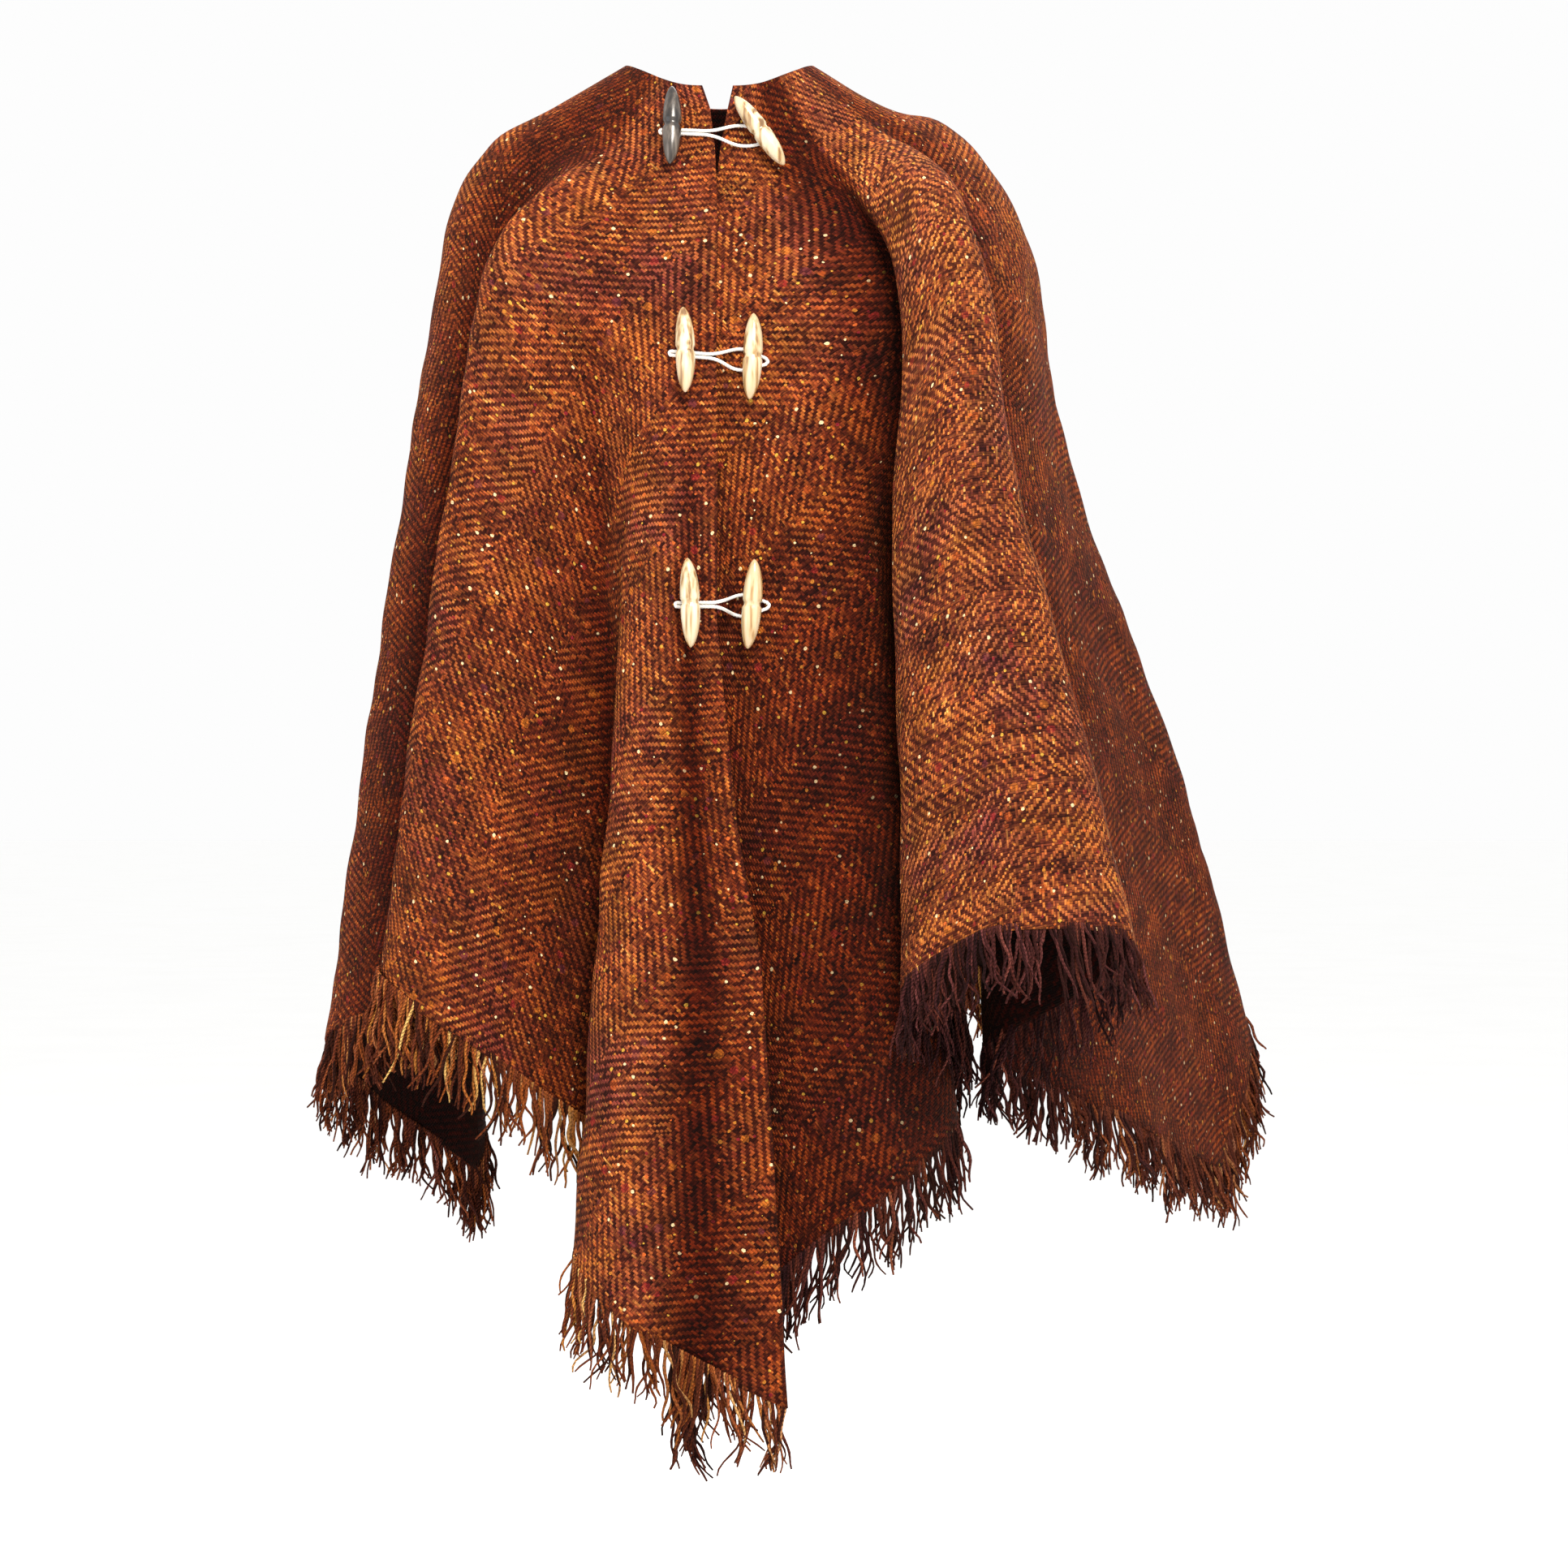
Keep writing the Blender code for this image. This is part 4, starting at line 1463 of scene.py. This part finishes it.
@dataclass
class TieCord:
    """A closed loop of twisted cord that ties a pair of toggles."""

    name: str
    closure: Closure
    seat: FrontSeat
    pair: float = 1.45 * MM
    spread: float = 8.5 * MM
    under: float = 6.8 * MM
    part_at: float = 0.45
    open_at: float = 0.78
    points: int = 40
    smoothing: int = 7
    step_level: float = 2.0 * MM
    step_fall: float = 9.0 * MM
    twist: float = 7.0 * MM
    ply_depth: float = 0.22
    rings: int = 420
    sides: int = 12

    def line(self) -> Array:
        """The loop seen from the front.

        Two strands run side by side from the left toggle, part towards the right one and turn back beyond
        each.

        Returns:
            Rows of x and z.
        """
        left = np.array([self.closure.left_x, self.closure.left_z]) * MM
        right = np.array([self.closure.right_x, self.closure.right_z]) * MM
        span = float(np.linalg.norm(right - left))
        ahead = (right - left) / span
        across = np.array([-ahead[1], ahead[0]])
        reach = TOGGLE_RADIUS + CORD_DIAMETER
        knots = [-reach, 0.0, self.part_at * span, self.open_at * span, span, span + reach]
        halves = [self.pair, self.pair, self.pair, self.spread, self.under, self.pair]
        places = np.linspace(-reach, span + reach, self.points)
        half = rolling_mean(np.interp(places, knots, halves), self.smoothing)
        upper = left + places[:, None] * ahead + half[:, None] * across
        lower = left + places[:, None] * ahead - half[:, None] * across
        turns = np.radians(np.arange(75, -76, -15))[:, None]
        bow = self.pair * (np.cos(turns) * ahead + np.sin(turns) * across)
        far, near = left + (span + reach) * ahead, left - reach * ahead
        return np.concatenate([upper, far + bow, lower[::-1], near - bow])

    def path(self) -> Array:
        """The loop's middle line, resting on the front.

        It leaves the left panel level at the slit and comes down on the right panel a little farther on.

        Returns:
            Rows of x, y and z.
        """
        lift = WALL / 2 + GAP + CORD_DIAMETER / 2
        places = []
        for x, z in self.line():
            edge = self.seat.edge("left", z)
            if x <= edge:
                spot, out = self.seat.spot("left", x, z)
            else:
                start = max(edge, self.seat.edge("right", z))
                spot, out = self.seat.spot("right", max(x, start), z)
                step = self.seat.spot("left", edge, z)[0][1] - self.seat.spot("right", start, z)[0][1]
                lowered = ease(np.array((x - start - self.step_level) / self.step_fall))
                spot[1] += step * (1 - float(lowered))
            places.append([x, spot[1] + lift / out[1], z])
        return np.array(places)

    def build(self, material: Material) -> Piece:
        """Makes the cord, with three plies as lobes that turn along it.

        Args:
            material: the cord's cotton.

        Returns:
            The cord.
        """
        path = self.path()
        path = np.concatenate([path[-2:], path, path[:2]])
        path[:, 1] = rolling_mean(path[:, 1], 5)
        path = path[2:-2]
        loop = np.concatenate([path, path[:1]])
        length = np.concatenate([[0], np.cumsum(np.linalg.norm(np.diff(loop, axis=0), axis=1))])
        at = np.linspace(0, length[-1], self.rings, endpoint=False)
        middle = np.stack([np.interp(at, length, loop[:, axis]) for axis in range(3)], axis=1)
        ahead = unit(np.roll(middle, -1, axis=0) - np.roll(middle, 1, axis=0))
        out = np.array([0.0, -1.0, 0.0])
        across = unit(np.cross(ahead, out))
        over = np.cross(across, ahead)
        turns = round(length[-1] / self.twist) / length[-1]
        spin = 2 * math.pi * np.arange(self.sides) / self.sides
        ply = np.abs(np.cos(1.5 * (spin[None] - 2 * math.pi * turns * at[:, None])))
        radius = (CORD_DIAMETER / 2 * (1 - self.ply_depth + self.ply_depth * ply))[..., None]
        rim = over[:, None] * np.cos(spin)[:, None] + across[:, None] * np.sin(spin)[:, None]
        points = middle[:, None] + rim * radius
        faces = grid_faces(self.rings + 1, self.sides, closed=True)[:, ::-1] % (self.rings * self.sides)
        piece = build_mesh(f"{self.name}_look", points.reshape(-1, 3), faces, material)
        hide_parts(self.name)
        return piece


@dataclass
class Closures:
    """The three pairs of horn toggles with their cords."""

    drape: Drape

    def build(self) -> None:
        """Makes the toggles and cords."""
        seat = FrontSeat(self.drape)
        cotton = TwistedCord().build()
        lift = WALL / 2 + 2 * GAP + CORD_DIAMETER + TOGGLE_RADIUS
        for number, closure in enumerate(CLOSURES, start=1):
            sides = {
                "left": (closure.left_x, closure.left_z, closure.left_lean, closure.left_horn),
                "right": (closure.right_x, closure.right_z, closure.right_lean, closure.right_horn),
            }
            for place, (side, (x, z, lean, horn)) in enumerate(sides.items()):
                spot, out = seat.spot(side, x * MM, z * MM)
                finish = PolishedHorn(horn, offset=1.7 * number + place, warmth=0.1 * number * place)
                toggle = Toggle(f"toggle_{side}_{number}", spot + lift * out, out, lean)
                toggle.build(finish.build())
            TieCord(f"cord_{number}", closure, seat).build(cotton)


@dataclass
class Studio:
    """A pale floor, soft lights and the camera at the photograph's viewing angle."""

    camera_x: float = 0.050
    camera_z: float = -0.546
    distance: float = 3.0
    frame_width: float = 1932 * 0.62 * MM
    sensor: float = 36.0
    floor_z: float = -1.45
    floor_reach: float = 60.0
    world: float = 1.0

    def add_light(self, name: str, place: tuple, size: float, power: float, colour: str) -> None:
        """Adds a soft square light that faces the poncho.

        Args:
            name: what it is called.
            place: where it is.
            size: its side in metres.
            power: its power in watts.
            colour: its display colour.
        """
        light = bpy.data.lights.new(name, "AREA")
        light.size = size
        light.energy = power
        light.color = linear(colour)[:3]
        holder = bpy.data.objects.new(name, light)
        holder.location = place
        towards = Vector((self.camera_x, 0, -0.5)) - Vector(place)
        holder.rotation_euler = towards.to_track_quat("-Z", "Y").to_euler()
        bpy.context.collection.objects.link(holder)

    def build(self) -> None:
        """Makes the studio."""
        reach = self.floor_reach
        corners = [[-reach, -reach], [reach, -reach], [reach, reach], [-reach, reach]]
        mesh = bpy.data.meshes.new("floor")
        mesh.from_pydata([(x, y, self.floor_z) for x, y in corners], [], [(0, 1, 2, 3)])
        mesh.materials.append(PaleFloor().build())
        floor = bpy.data.objects.new("floor", mesh)
        bpy.context.collection.objects.link(floor)
        world = bpy.data.worlds.new("studio")
        world.use_nodes = True
        world.node_tree.nodes["Background"].inputs["Color"].default_value = linear("fdfdfd")
        world.node_tree.nodes["Background"].inputs["Strength"].default_value = self.world
        bpy.context.scene.world = world
        self.add_light("key", (0.5, -2.4, 2.2), 1.2, 165, "fff6ea")
        self.add_light("fill", (-2.4, -2.0, 0.4), 2.2, 20, "f2f6ff")
        self.add_light("back", (0.6, 2.6, 1.6), 2.0, 40, "ffffff")
        bpy.context.scene.view_settings.view_transform = "Standard"
        camera = bpy.data.cameras.new("camera")
        camera.sensor_width = self.sensor
        camera.lens = self.sensor * self.distance / self.frame_width
        holder = bpy.data.objects.new("camera", camera)
        holder.location = (self.camera_x, -self.distance, self.camera_z)
        holder.rotation_euler = (math.radians(90), 0, 0)
        bpy.context.collection.objects.link(holder)
        bpy.context.scene.camera = holder


def main() -> None:
    """Builds the studio, the closures, the fringe and the cloth."""
    logging.basicConfig(level=logging.INFO, format="%(name)s: %(message)s")
    Studio().build()
    LOG.info("studio built")
    drape = Drape()
    Closures(drape).build()
    LOG.info("closures built")
    yarn = PliedYarn().build()
    fringes = [
        Fringe(drape, f"fringe_{name}", 90 * number, 90 * number + 90, seed=11 + number).build(yarn)
        for number, name in enumerate(("front_right", "back_right", "back_left", "front_left"))
    ]
    LOG.info("fringe built")
    cloth = Cloth(drape).build(Tweed().build())


if __name__ == "__main__":
    main()
